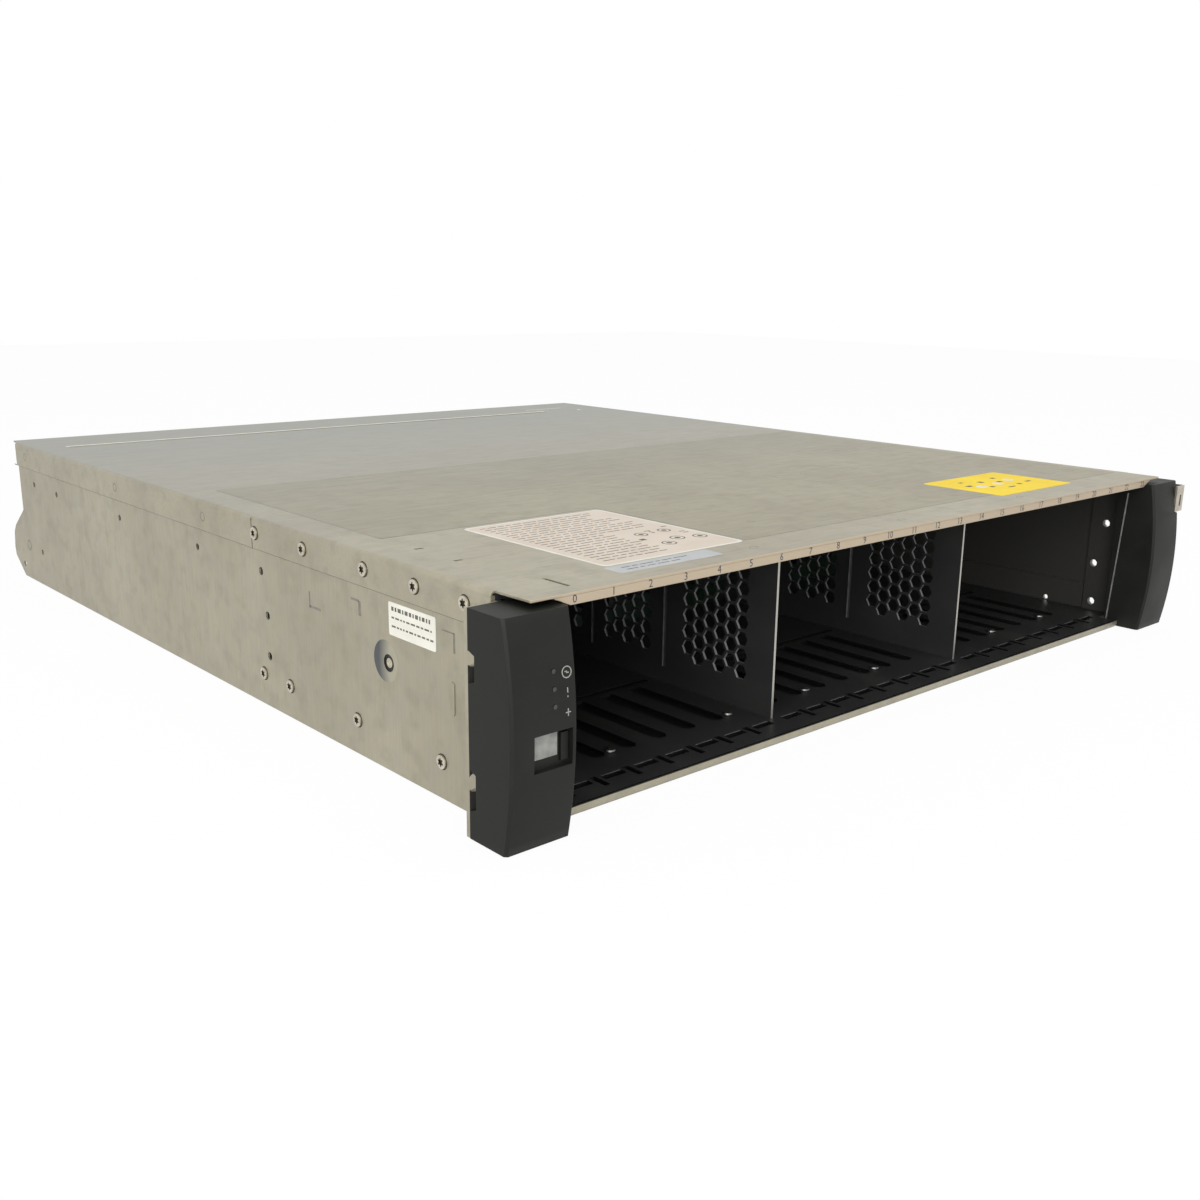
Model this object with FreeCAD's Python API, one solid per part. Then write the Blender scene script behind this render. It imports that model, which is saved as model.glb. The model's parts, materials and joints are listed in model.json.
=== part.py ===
import FreeCAD, Part
import math
import os

# Two-unit rack shelf for 24 upright drives. X points right seen from the front, Y points back
# and Z points up. The origin is the centre of the base.

# Rack standard
rack_unit = 44.45
rack_width = 482.6
rack_hole_inset = 8.75
rack_hole_radius = 3.4

# Body
ear_overhang = 17.8
body_depth = 505.0
body_height = 85.0
cover_sheet = 1.0
side_sheet = 1.0
pan_sheet = 1.0
bend_radius = 0.8
side_setback = 8.5
lip_height = 3.5
pan_flange_height = 18.0
foot_reach = 24.0
foot_top = 43.0
foot_nose_height = 14.0
foot_shoulder_height = 31.0
punched_radius = 1.6
foot_hole = (37.0, 21.0)
foot_slot = (7.0, 7.8)
foot_slot_size = (5.2, 3.2)
rear_wall_holes = ((34.0, 62.0), (72.0, 61.0), (167.0, 61.4), (262.0, 61.6))
lanced_holes = ((3.0, 61.4), (-1.0, 42.2), (-1.0, 23.7))
lanced_radius = 1.8
dimple_place = (76.5, 44.3)
dimple_hole_radius = 3.4

# Covers
cover_overhang = 7.0
cover_lip_height = 4.3
cover_nose_taper = 0.6
lip_end_reach = 4.6
lip_end_slant = 7.7
skirt_height = 14.0
cover_seam_offset = 8.0
cover_seam_gap = 0.4
cover_slot_depths = (57.0, 83.0)
cover_slot_size = (4.0, 1.6)
cover_slot_inset = 2.9
cover_slit_size = (1.5, 14.0)
cover_slit_inset = 9.15
cover_slit_depth = 8.0
bead_setback = 50.0
bead_insets = (16.0, 60.0)
bead_width = 5.0
bead_sink = 0.5

# Drive bays
bay_count = 3
slots_per_bay = 8
slot_side_gap = 14.6
divider_sheet = 1.2
divider_play = 0.25
floor_thickness = 2.5
ceiling_thickness = 2.5
divider_front_depth = 17.0
midplane_depth = 176.0
midplane_board_thickness = 3.2
groove_width = 7.5
groove_sink = 1.2
groove_start_depth = 30.5
groove_end_depth = 86.0
groove_nose = 2.5
catch_width = 11.0
catch_length = 3.5
catch_depth = 12.0
slit_width = 2.75
slit_start_depth = 7.5
slit_end_depth = 17.0
floor_step_depth = 89.0
floor_step_length = 3.5
floor_step_sink = 0.6

# Honeycomb of the dividers
cell_pitch = 7.5
cell_wall = 1.2
comb_margin = 10.0
comb_fields = ((15.0, 55.0), (75.0, 109.0), (124.0, 132.0))
bead_offsets = (66.6, 117.0)
divider_bead_width = 2.2
divider_bead_margin = 7.8

# Drive and module connectors
connector_width = 5.6
connector_height = 44.0
connector_reach = 8.0
connector_floor_gap = 14.0
airflow_width = 8.6
airflow_height = 22.0
module_connector_width = 52.0
module_connector_height = 14.0
module_connector_reach = 6.0
bracket_width = 11.0
bracket_length = 14.0
bracket_bottom = 24.0
bracket_top_drop = 14.0
bracket_hole_radius = 1.7

# Rack ears and end caps
wall_holes = ((19.0, 55.0), (24.0, 31.0), (23.0, 8.5))
wall_hole_radius = 2.0
pan_hole = (52.0, 5.2)
pan_hole_radius = 1.4
ear_sheet = 2.0
ear_front_depth = 8.5
ear_flange = 19.5
cap_width = 28.0
cap_wall = 2.0
cap_top_drop = 3.0
cap_bottom = 0.3
cap_clearance = 0.4
cap_bow_top = 10.7
cap_bow_middle = 15.4
cap_bow_bottom = 11.6
cap_corner = 1.0
moving_gap = 0.3
cap_notch_depth = 4.6
upper_notch = (26.5, 14.0)
lower_notch = (10.1, 26.1)
notch_slope = 1.8
tab_sheet = 1.0
tab_width = 9.8
tab_drops = (17.0, 2.8)
tab_front = 13.6
tab_slot_width = 1.8
tab_slot_margins = (3.0, 5.0)

# Indicators on the left cap
window_width = 11.6
window_height = 9.2
window_bottom = 32.1
window_thickness = 1.5
recess_edge = 9.4
recess_width = 16.4
recess_bottom = 28.4
recess_height = 13.0
recess_sink = 2.6
button_width = 3.2
button_height = 9.8
pipe_radius = 0.8
pipe_offset = 18.2
pipe_drops = (20.0, 26.0, 32.0)
board_thickness = 1.6
board_depth = 2.0

# Rear modules
module_gap = 11.3
module_play = 0.4
wall_sheet = 1.0
psu_bay_width = 107.4
shelf_sheet = 1.0
shelf_gap = 8.0
case_sheet = 1.0
face_sheet = 1.6
fan_size = 34.0
fan_edge_gap = 2.0
fan_spacing = 1.2
spoke_thickness = 1.8
spoke_width = 2.0
boss_thickness = 3.0
guard_count = 5
guard_pitch = 5.6
guard_opening = 3.2
guard_margin = 1.0
fan_depth = 15.0
fan_bore_radius = 15.6
fan_tip_gap = 0.6
hub_radius = 7.5
fan_shaft_radius = 1.5
fan_shaft_play = 0.05
blade_count = 5
blade_sheet = 1.0
blade_pitch = 42.0
inlet_width = 28.0
inlet_height = 21.0
inlet_depth = 22.0
inlet_gap = 5.0
inlet_lift = 12.0
rocker_width = 10.0
rocker_height = 16.0
rocker_lift = 10.0
rocker_shift = 4.0
lever_sheet = 2.5
lever_width = 12.0
lever_gap = 0.4
lever_edge_gap = 4.0
lever_lift = 9.0
cheek_sheet = 1.5
cheek_half = 5.0
cheek_reach = 9.0
cheek_corner = 3.0
pivot_reach = 4.5
pivot_radius = 2.0
pivot_play = 0.05
port_count = 4
port_pitch = 18.0
port_size = (15.6, 9.6, 24.0)
port_edge_gap = 6.9
socket_pitch = 17.0
socket_size = (14.2, 12.4, 16.0)
socket_gap = 9.1
socket_edge_gap = 5.0
vent_pitch = 28.0
vent_size = (24.0, 3.0)
vent_drop = 5.0
vent_margin = 41.7
io_lever_inset = 8.0
io_lever_reach = 39.0

# Fasteners
rivet_radius = 2.6
rivet_head = 0.7
skirt_rivet_offsets = (26.0, 57.0, 92.0)
skirt_rivet_setbacks = (45.0, 3.0)
flange_rivet_offsets = (43.0, 101.6)
flange_rivet_setbacks = (27.0, 3.0)
flange_rivet_height = 14.5

# Places worked out from the sizes above
rack_hole_spacing = rack_width - 2 * rack_hole_inset
body_width = rack_width - 2 * ear_overhang
half_width = body_width / 2
side_outer = half_width - cover_sheet
side_inner = side_outer - side_sheet
front_y = -body_depth / 2
rear_y = body_depth / 2
floor_top = pan_sheet + floor_thickness
cover_under = body_height - cover_sheet
ceiling_under = cover_under - ceiling_thickness
divider_gap = divider_sheet + 2 * divider_play
slot_count = bay_count * slots_per_bay
slot_edge = side_inner - slot_side_gap
slot_pitch = (2 * slot_edge - (bay_count - 1) * divider_gap) / slot_count
bay_width = slots_per_bay * slot_pitch
divider_x = [-slot_edge + (i + 1) * bay_width + (i + 0.5) * divider_gap for i in range(bay_count - 1)]
cap_inner = slot_edge + cap_clearance
cap_outer = cap_inner + cap_width
rack_hole_x = rack_hole_spacing / 2
rack_hole_z = (body_height / 2 - rack_unit / 2, body_height / 2 + rack_unit / 2)
side_front_depth = ear_front_depth + ear_sheet + bend_radius
side_rear_y = rear_y - side_setback
side_top = cover_under - bend_radius
ear_y = front_y + ear_front_depth
cap_top = body_height - cap_top_drop
tab_bottom, tab_top = cap_top - tab_drops[0], cap_top - tab_drops[1]
pipe_heights = [cap_top - drop for drop in pipe_drops]
cover_seam_depth = midplane_depth + cover_seam_offset
skirt_rivet_depths = list(skirt_rivet_offsets)
skirt_rivet_depths += [cover_seam_depth - setback for setback in skirt_rivet_setbacks]
flange_rivet_depths = list(flange_rivet_offsets)
flange_rivet_depths += [cover_seam_depth - setback for setback in flange_rivet_setbacks]
module_face_y = side_rear_y
module_start_y = front_y + midplane_depth + midplane_board_thickness + module_connector_reach + module_gap
wall_offset = side_inner - pan_sheet - psu_bay_width - wall_sheet / 2
middle_z = (pan_sheet + cover_under) / 2
parts_folder = "parts"


def vec(x, y, z):
    return FreeCAD.Vector(x, y, z)


def deep(distance):
    # Y of a place given by its distance behind the front lip.
    return front_y + distance


def in_plane(plane, u, v, w):
    # Point with coordinates u and v in the named plane and w along its normal.
    if plane == "xy":
        return vec(u, v, w)
    if plane == "xz":
        return vec(u, w, v)
    return vec(w, u, v)


def unit(x, y):
    size = math.hypot(x, y)
    return x / size, y / size


def outline(plane, w, points):
    # Closed wire through (u, v) or (u, v, corner radius) points, with arcs in the rounded corners.
    count = len(points)
    corners = []
    for i, point in enumerate(points):
        u, v = point[0], point[1]
        radius = point[2] if len(point) == 3 else 0
        if not radius:
            corners.append(((u, v), None, (u, v)))
            continue
        before = points[i - 1]
        after = points[(i + 1) % count]
        ax, ay = unit(before[0] - u, before[1] - v)
        bx, by = unit(after[0] - u, after[1] - v)
        half = math.acos(max(-1, min(1, ax * bx + ay * by))) / 2
        reach = radius / math.tan(half)
        mx, my = unit(ax + bx, ay + by)
        off = radius / math.sin(half) - radius
        corners.append(((u + ax * reach, v + ay * reach), (u + mx * off, v + my * off),
                        (u + bx * reach, v + by * reach)))
    edges = []
    for i, (start, middle, end) in enumerate(corners):
        if middle:
            ends = [in_plane(plane, p[0], p[1], w) for p in (start, middle, end)]
            edges.append(Part.Arc(*ends).toShape())
        following = corners[(i + 1) % count][0]
        here = in_plane(plane, end[0], end[1], w)
        there = in_plane(plane, following[0], following[1], w)
        if here.distanceToPoint(there) > 1e-6:
            edges.append(Part.makeLine(here, there))
    return Part.Wire(edges)


def punched(plane, w, u, v, radius, sides=8):
    # Small round hole or post drawn with flat sides that touch the circle.
    reach = radius / math.cos(math.pi / sides)
    turn = math.pi / sides
    corners = [(u + reach * math.cos(turn + 2 * math.pi * k / sides),
                v + reach * math.sin(turn + 2 * math.pi * k / sides)) for k in range(sides)]
    return outline(plane, w, corners)


def slab(plane, w, thickness, rim, holes=()):
    # Flat piece between w and w + thickness, with the given closed wires as its rim and holes.
    face = Part.makeFace([rim] + list(holes), "Part::FaceMakerBullseye")
    return face.extrude(in_plane(plane, 0, 0, thickness))


def block(x, y, z):
    # Box from three (low, high) pairs.
    return Part.makeBox(x[1] - x[0], y[1] - y[0], z[1] - z[0], vec(x[0], y[0], z[0]))


def rod(plane, w, length, u, v, radius):
    direction = 1 if length > 0 else -1
    return Part.makeCylinder(radius, abs(length), in_plane(plane, u, v, w), in_plane(plane, 0, 0, direction))


def rectangle(plane, w, u, v, radius=0):
    corners = [(u[0], v[0]), (u[1], v[0]), (u[1], v[1]), (u[0], v[1])]
    return outline(plane, w, [corner + (radius,) for corner in corners])


def bent_strip(plane, w, length, path, thickness):
    # Sheet folded along an open path; the material lies to the left of the path.
    sides = []
    for (u0, v0), (u1, v1) in zip(path, path[1:]):
        du, dv = unit(u1 - u0, v1 - v0)
        sides.append((du, dv))
    near, far = [], []
    for i, (u, v) in enumerate(path):
        if i in (0, len(path) - 1):
            du, dv = sides[0] if i == 0 else sides[-1]
            near.append((u, v))
            far.append((u - dv * thickness, v + du * thickness))
            continue
        (au, av), (bu, bv) = sides[i - 1], sides[i]
        turn = au * bv - av * bu
        shift = thickness * math.tan(math.acos(max(-1, min(1, au * bu + av * bv))) / 2)
        side = 1 if turn > 0 else -1
        inside = (u - av * thickness - au * shift * side, v + au * thickness - av * shift * side)
        outer, inner = bend_radius + thickness, bend_radius
        near.append((u, v, outer if turn > 0 else inner))
        far.append(inside + (inner if turn > 0 else outer,))
    return slab(plane, w, length, outline(plane, w, near + far[::-1]))


def post(plane, w, length, u, v, radius, sides=8):
    # Small round post with flat sides inside the circle.
    inner = radius * math.cos(math.pi / sides)
    return slab(plane, w, length, punched(plane, w, u, v, inner, sides))


def mirrored(shape):
    return shape.mirror(vec(0, 0, 0), vec(1, 0, 0))


def fused(shapes):
    return shapes[0].multiFuse(shapes[1:]).removeSplitter() if len(shapes) > 1 else shapes[0]


def group(shapes):
    return Part.makeCompound(shapes)


def slot_x(number):
    bay = number // slots_per_bay
    return -slot_edge + (number + 0.5) * slot_pitch + bay * divider_gap


def bay_edges(bay):
    left = -slot_edge + bay * (bay_width + divider_gap)
    return left, left + bay_width


def side_outline(w):
    # Side wall with the rounded fixing foot at its lower rear corner.
    front = deep(side_front_depth)
    back = side_rear_y + foot_reach
    return outline("yz", w, [
        (front, 0), (side_rear_y + foot_reach / 3, 0), (back - 1, foot_nose_height - 3),
        (back, foot_nose_height + 2), (back - 2, foot_shoulder_height - 5),
        (back - 6, foot_shoulder_height), (side_rear_y, foot_top), (side_rear_y, side_top),
        (front, side_top)])


def side_plate(side):
    # Galvanised wall; side is -1 for the left and 1 for the right.
    w = side_inner if side > 0 else -side_outer
    places = list(rear_wall_holes) + [foot_hole]
    holes = [punched("yz", w, rear_y - setback, z, punched_radius) for setback, z in places]
    slot_y, slot_z = side_rear_y + foot_slot[0], foot_slot[1]
    width, height = foot_slot_size
    holes.append(outline("yz", w, [
        (slot_y - width / 2, slot_z), (slot_y - width / 4, slot_z - height / 2),
        (slot_y + width / 4, slot_z - height / 2), (slot_y + width / 2, slot_z),
        (slot_y + width / 4, slot_z + height / 2), (slot_y - width / 4, slot_z + height / 2)]))
    if side > 0:
        holes += [punched("yz", w, deep(d), z, wall_hole_radius) for d, z in wall_holes]
        holes.append(punched("yz", w, deep(pan_hole[0]), pan_hole[1], pan_hole_radius))
    else:
        holes += [punched("yz", w, deep(midplane_depth + d), z, lanced_radius) for d, z in lanced_holes]
        holes.append(punched("yz", w, deep(dimple_place[0]), dimple_place[1], dimple_hole_radius, 12))
    return slab("yz", w, side_sheet, side_outline(w), holes)


def base_pan():
    # Bottom sheet with the low folded lip between the end caps and a flange up each side wall.
    front, back = deep(0), side_rear_y
    step = deep(side_front_depth)
    rim = outline("xy", 0, [(-slot_edge, front + 1), (slot_edge, front + 1), (slot_edge, step),
                            (side_inner, step), (side_inner, back), (-side_inner, back),
                            (-side_inner, step), (-slot_edge, step)])
    lip = bent_strip("yz", -slot_edge, 2 * slot_edge,
                     [(front, lip_height), (front, 0), (front + 5, 0)], pan_sheet)
    start = ear_y + ear_flange + 1
    tray = bent_strip("xz", start, back - start,
                      [(-side_inner, pan_flange_height), (-side_inner, 0), (side_inner, 0),
                       (side_inner, pan_flange_height)], pan_sheet)
    sheet = slab("xy", 0, pan_sheet, rim)
    corners = [block((side_inner - 2, side_inner + 1), (start, back), (-1, pan_sheet)),
               block((-side_inner - 1, 2 - side_inner), (start, back), (-1, pan_sheet))]
    w = side_inner - pan_sheet - 1
    hole = slab("yz", w, pan_sheet + 2, punched("yz", w, deep(pan_hole[0]), pan_hole[1], pan_hole_radius))
    return fused([sheet.cut(group(corners)), lip, tray]).cut(hole)


def front_cover():
    # Forward top sheet with side skirts and the folded lip that carries the slot numbers.
    start, end = deep(side_front_depth), deep(cover_seam_depth) - cover_seam_gap / 2
    skirt_bottom = body_height - skirt_height
    hood = bent_strip("xz", start, end - start,
                      [(half_width, skirt_bottom), (half_width, body_height),
                       (-half_width, body_height), (-half_width, skirt_bottom)], cover_sheet)
    nose = deep(-cover_overhang)
    tip = side_inner - cover_nose_taper
    tongue = slab("xy", cover_under, cover_sheet, outline("xy", cover_under, [
        (-side_inner, start + 1), (-tip, nose), (tip, nose), (side_inner, start + 1)]))
    lip_end = slot_edge + lip_end_reach
    lip = bent_strip("yz", -lip_end, 2 * lip_end,
                     [(nose + 6, body_height), (nose, body_height),
                      (nose, body_height - cover_lip_height)], cover_sheet)
    low = body_height - cover_lip_height
    slant = slab("xz", nose - 1, cover_sheet + 2, outline("xz", nose - 1, [
        (-lip_end - 1, low - 1), (-lip_end - 1, cover_under), (-lip_end, cover_under),
        (-lip_end + lip_end_slant, low), (-lip_end + lip_end_slant, low - 1)]))
    lip = lip.cut(group([slant, mirrored(slant)]))
    places = [(cover_slot_inset, depth, cover_slot_size) for depth in cover_slot_depths]
    places.append((cover_slit_inset, cover_slit_depth, cover_slit_size))
    holes = []
    for inset, depth, (width, length) in places:
        x, y = inset - slot_edge, deep(depth)
        holes.append(block((x - width / 2, x + width / 2), (y - length / 2, y + length / 2),
                           (cover_under - 1, body_height + 1)))
    return fused([hood, tongue, lip]).cut(group(holes))


def rear_cover():
    # Rear top sheet with side skirts and a pressed cross bead.
    start = deep(cover_seam_depth) + cover_seam_gap / 2
    skirt_bottom = body_height - skirt_height
    hood = bent_strip("xz", start, side_rear_y - start,
                      [(half_width, skirt_bottom), (half_width, body_height),
                       (-half_width, body_height), (-half_width, skirt_bottom)], cover_sheet)
    tail = block((-side_inner, side_inner), (side_rear_y - 1, rear_y), (cover_under, body_height))
    bead_y, half = rear_y - bead_setback, bead_width / 2
    left, right = bead_insets[0] - side_inner, side_inner - bead_insets[1]
    bead = slab("xy", body_height - bead_sink, 2, outline("xy", body_height - bead_sink, [
        (left, bead_y), (left + half, bead_y - half), (right - half, bead_y - half), (right, bead_y),
        (right - half, bead_y + half), (left + half, bead_y + half)]))
    return fused([hood, tail]).cut(bead)


def floor_rim(w, front, setback):
    # Outline shared by the floor and the ceiling of the drive bays.
    step = deep(side_front_depth)
    reach = side_inner - setback
    back = deep(midplane_depth)
    return outline("xy", w, [(-slot_edge, front), (slot_edge, front), (slot_edge, step),
                             (reach, step), (reach, back), (-reach, back), (-reach, step),
                             (-slot_edge, step)])


def guide_grooves(w, height, nose):
    # Shallow tracks on the slot boundaries; the nose is the length of their tapered front ends.
    tracks = []
    start, end = deep(groove_start_depth), deep(groove_end_depth)
    for bay in range(bay_count):
        left = bay_edges(bay)[0]
        for i in range(1, slots_per_bay):
            u = left + i * slot_pitch
            low, high = u - groove_width / 2, u + groove_width / 2
            corners = [(high, end), (low, end), (low, start + nose)]
            if nose:
                corners += [(low + nose * 0.8, start), (high - nose * 0.8, start)]
            rim = outline("xy", w, corners + [(high, start + nose)])
            tracks.append(slab("xy", w, height, rim))
    return tracks


def bay_floor():
    # Black floor with the catch openings, the slits and the guide tracks of the drives.
    w = pan_sheet
    holes = []
    for number in range(slot_count):
        u = slot_x(number)
        holes.append(rectangle("xy", w, (u - catch_width / 2, u + catch_width / 2),
                               (deep(catch_depth), deep(catch_depth + catch_length))))
    for bay in range(bay_count):
        left = bay_edges(bay)[0]
        for i in range(1, slots_per_bay):
            u = left + i * slot_pitch
            holes.append(rectangle("xy", w, (u - slit_width / 2, u + slit_width / 2),
                                   (deep(slit_start_depth), deep(slit_end_depth))))
    hem = pan_sheet + bend_radius
    plate = slab("xy", w, floor_thickness, floor_rim(w, deep(hem), hem), holes)
    cuts = guide_grooves(floor_top - groove_sink, groove_sink + 1, groove_nose)
    for bay in range(bay_count):
        low, high = bay_edges(bay)
        cuts.append(block((low + 4, high - 4),
                          (deep(floor_step_depth), deep(floor_step_depth + floor_step_length)),
                          (floor_top - floor_step_sink, floor_top + 1)))
    return plate.cut(group(cuts))


def bay_ceiling():
    w = ceiling_under
    plate = slab("xy", w, ceiling_thickness, floor_rim(w, deep(0), 0))
    return plate.cut(group(guide_grooves(w - 1, groove_sink + 1, 0)))


def comb_holes(w, field):
    # Hexagons that point forwards and back, in staggered columns that fill one field of a divider.
    low, high = [deep(divider_front_depth + offset) for offset in field]
    bottom, top = floor_top + comb_margin, ceiling_under - comb_margin
    radius = (cell_pitch - cell_wall) / math.sqrt(3)
    column_step = cell_pitch * math.sqrt(3) / 2
    columns = int((high - low - 2 * radius) / column_step) + 1
    rows = int((top - bottom) / cell_pitch)
    first_y = (low + high - (columns - 1) * column_step) / 2
    holes = []
    for column in range(columns):
        count = rows - column % 2
        first_z = (bottom + top - (count - 1) * cell_pitch) / 2
        y = first_y + column * column_step
        for row in range(count):
            z = first_z + row * cell_pitch
            points = []
            for k in range(6):
                angle = math.radians(60 * k)
                points.append((y + radius * math.cos(angle), z + radius * math.sin(angle)))
            holes.append(outline("yz", w, points))
    return holes


def divider(x):
    # Bay divider: honeycomb sheet with two pressed upright beads.
    w = x - divider_sheet / 2
    holes = []
    for field in comb_fields:
        holes += comb_holes(w, field)
    rim = rectangle("yz", w, (deep(divider_front_depth), deep(midplane_depth)), (floor_top, ceiling_under))
    sheet = slab("yz", w, divider_sheet, rim, holes)
    beads = []
    low, high = floor_top + divider_bead_margin, ceiling_under - divider_bead_margin
    half = divider_bead_width / 2
    for offset in bead_offsets:
        y = deep(divider_front_depth + offset)
        rim = outline("xy", low, [(x - half, y), (x - half / 2, y - half), (x + half / 2, y - half),
                                  (x + half, y), (x + half / 2, y + half), (x - half / 2, y + half)])
        beads.append(slab("xy", low, high - low, rim))
    return fused([sheet] + beads)


def midplane_board():
    # Circuit board across the shelf, with an air opening above each drive connector.
    w = deep(midplane_depth)
    bottom = floor_top + connector_floor_gap + connector_height - airflow_height
    holes = []
    for bay in range(bay_count):
        left = bay_edges(bay)[0]
        for i in range(1, slots_per_bay):
            u = left + i * slot_pitch
            holes.append(rectangle("xz", w, (u - airflow_width / 2, u + airflow_width / 2),
                                   (bottom, bottom + airflow_height)))
    rim = rectangle("xz", w, (-side_inner + 3, side_inner - 3), (pan_sheet, cover_under))
    return slab("xz", w, midplane_board_thickness, rim, holes)


def drive_connectors():
    # One upright edge connector per slot.
    pieces = []
    w = deep(midplane_depth)
    low = floor_top + connector_floor_gap
    for number in range(slot_count):
        u = slot_x(number)
        pieces.append(block((u - connector_width / 2, u + connector_width / 2), (w - connector_reach, w),
                            (low, low + connector_height)))
    return group(pieces)


def module_places():
    # Left edge, right edge, bottom and top of each rear module bay.
    wall_in, wall_out = wall_offset - wall_sheet / 2, wall_offset + wall_sheet / 2
    outer = side_inner - pan_sheet
    return {
        "left_psu": (-outer, -wall_out, pan_sheet, cover_under),
        "right_psu": (wall_out, outer, pan_sheet, cover_under),
        "lower_module": (-wall_in, wall_in, pan_sheet, middle_z - shelf_sheet / 2),
        "upper_module": (-wall_in, wall_in, middle_z + shelf_sheet / 2, cover_under),
    }


def module_connectors():
    # Blind-mate sockets on the back of the midplane, one per rear module.
    pieces = []
    w = deep(midplane_depth + midplane_board_thickness)
    for low, high, bottom, top in module_places().values():
        u, v = (low + high) / 2, (bottom + top) / 2
        shell = block((u - module_connector_width / 2, u + module_connector_width / 2),
                      (w, w + module_connector_reach),
                      (v - module_connector_height / 2, v + module_connector_height / 2))
        pocket = block((u - module_connector_width / 2 + 1.5, u + module_connector_width / 2 - 1.5),
                       (w + 1.5, w + module_connector_reach + 1), (v - 2, v + 2))
        pieces.append(shell.cut(pocket))
    return group(pieces)


def midplane_brackets():
    # Folded brackets that screw the board to both side walls.
    w = deep(midplane_depth + midplane_board_thickness)
    path = [(side_inner, w + bracket_length), (side_inner, w), (side_inner - bracket_width, w)]
    height = cover_under - bracket_top_drop - bracket_bottom
    right = bent_strip("xy", bracket_bottom, height, path[::-1], cover_sheet)
    hole_z = bracket_bottom + height / 2
    hole = punched("xz", w - 1, side_inner - bracket_width / 2 - 1.5, hole_z, bracket_hole_radius)
    right = right.cut(slab("xz", w - 1, 4, hole))
    return group([mirrored(right), right])


def module_wall(side):
    # Upright sheet between a power module and the controller modules.
    low = deep(midplane_depth + midplane_board_thickness)
    x = side * wall_offset - wall_sheet / 2
    return block((x, x + wall_sheet), (low, side_rear_y), (pan_sheet, cover_under))


def module_shelf():
    low = deep(midplane_depth + midplane_board_thickness) + module_connector_reach + shelf_gap
    reach = wall_offset - wall_sheet / 2
    return block((-reach, reach), (low, side_rear_y),
                 (middle_z - shelf_sheet / 2, middle_z + shelf_sheet / 2))


def rack_ear(side):
    # Steel ear with two rack holes, folded back along the inside of the side wall.
    outer = cap_outer - moving_gap
    inner = side_inner - ear_sheet
    path = [(inner, ear_y + ear_flange), (inner, ear_y), (outer, ear_y)]
    fold = bent_strip("xy", floor_top, ceiling_under - floor_top, path, ear_sheet)
    top = cap_top - 2 * cap_clearance
    plate = slab("xz", ear_y, ear_sheet, rectangle(
        "xz", ear_y, (side_inner, outer), (cap_bottom, top)))
    ear = fused([fold, plate])
    cuts = [rod("xz", ear_y - 1, ear_sheet + 2, rack_hole_x, z, rack_hole_radius) for z in rack_hole_z]
    if side < 0:
        return mirrored(ear.cut(group(cuts)))
    w = side_inner - ear_sheet - 1
    cuts += [slab("yz", w, ear_sheet + 2, punched("yz", w, deep(d), z, wall_hole_radius))
             for d, z in wall_holes]
    arm = block((outer - 3, rack_width / 2), (ear_y, ear_y + ear_sheet), (tab_bottom, tab_top))
    return fused([ear, arm]).cut(group(cuts))


def right_ear_tab():
    # Slotted steel finger plate that stands forward from the right ear, outside the cap.
    outer = rack_width / 2
    path = [(outer - tab_width, deep(-tab_front)), (outer, deep(-tab_front)), (outer, ear_y)]
    strip = bent_strip("xy", tab_bottom, tab_top - tab_bottom, path, tab_sheet)
    middle = outer - tab_width / 2
    slot = block((middle - tab_slot_width / 2, middle + tab_slot_width / 2),
                 (deep(-tab_front) - 1, deep(-tab_front) + 2),
                 (tab_bottom + tab_slot_margins[0], tab_top - tab_slot_margins[1]))
    return strip.cut(slot)


def bowed_block(x, inset, back):
    # Solid between two X values whose front face follows the bow of the end caps.
    height = cap_top - cap_bottom
    top, bottom = cap_top - inset, cap_bottom + inset
    middle = cap_bottom + height / 2

    def front(z):
        # Circular bow through the three named front points of the cap.
        share = (z - cap_bottom) / height
        line = cap_bow_bottom + (cap_bow_top - cap_bow_bottom) * share
        belly = cap_bow_middle - (cap_bow_bottom + cap_bow_top) / 2
        return deep(-(line + belly * (1 - (2 * share - 1) ** 2)) + inset)

    bow = Part.Arc(in_plane("yz", front(bottom), bottom, x[0]), in_plane("yz", front(middle), middle, x[0]),
                   in_plane("yz", front(top), top, x[0])).toShape()
    corners = [in_plane("yz", front(top), top, x[0]), in_plane("yz", back, top, x[0]),
               in_plane("yz", back, bottom, x[0]), in_plane("yz", front(bottom), bottom, x[0])]
    lines = [Part.makeLine(a, b) for a, b in zip(corners, corners[1:])]
    face = Part.Face(Part.Wire([bow] + lines))
    return face.extrude(vec(x[1] - x[0], 0, 0))


def end_cap_shell():
    # Moulded left cap: bowed front, hollow behind, with screwdriver cut-outs in the outer wall.
    back = ear_y - moving_gap
    solid = bowed_block((-cap_outer, -cap_inner), 0, back)
    front_edges = []
    for edge in solid.Edges:
        points = [vertex.Point for vertex in edge.Vertexes]
        ahead = all(point.y < deep(-cap_bow_bottom) + 1 for point in points)
        if ahead and abs(points[0].x - points[-1].x) < 0.01:
            front_edges.append(edge)
    solid = solid.makeChamfer(cap_corner, front_edges)
    hollow = bowed_block((-cap_outer + cap_wall, -cap_inner - cap_wall), cap_wall, back + 5)
    cap = solid.cut(hollow)
    notch_front = deep(cap_notch_depth)
    for low, high in ((cap_top - upper_notch[0], cap_top - upper_notch[1]), lower_notch):
        cut = slab("yz", -cap_outer - 1, cap_wall + 2, outline("yz", -cap_outer - 1, [
            (notch_front, low + notch_slope), (back + 1, low), (back + 1, high),
            (notch_front, high - notch_slope)]))
        cap = cap.cut(cut)
    return cap


def recess_floor_y():
    middle_front = deep(-cap_bow_middle)
    return middle_front + recess_sink


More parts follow.
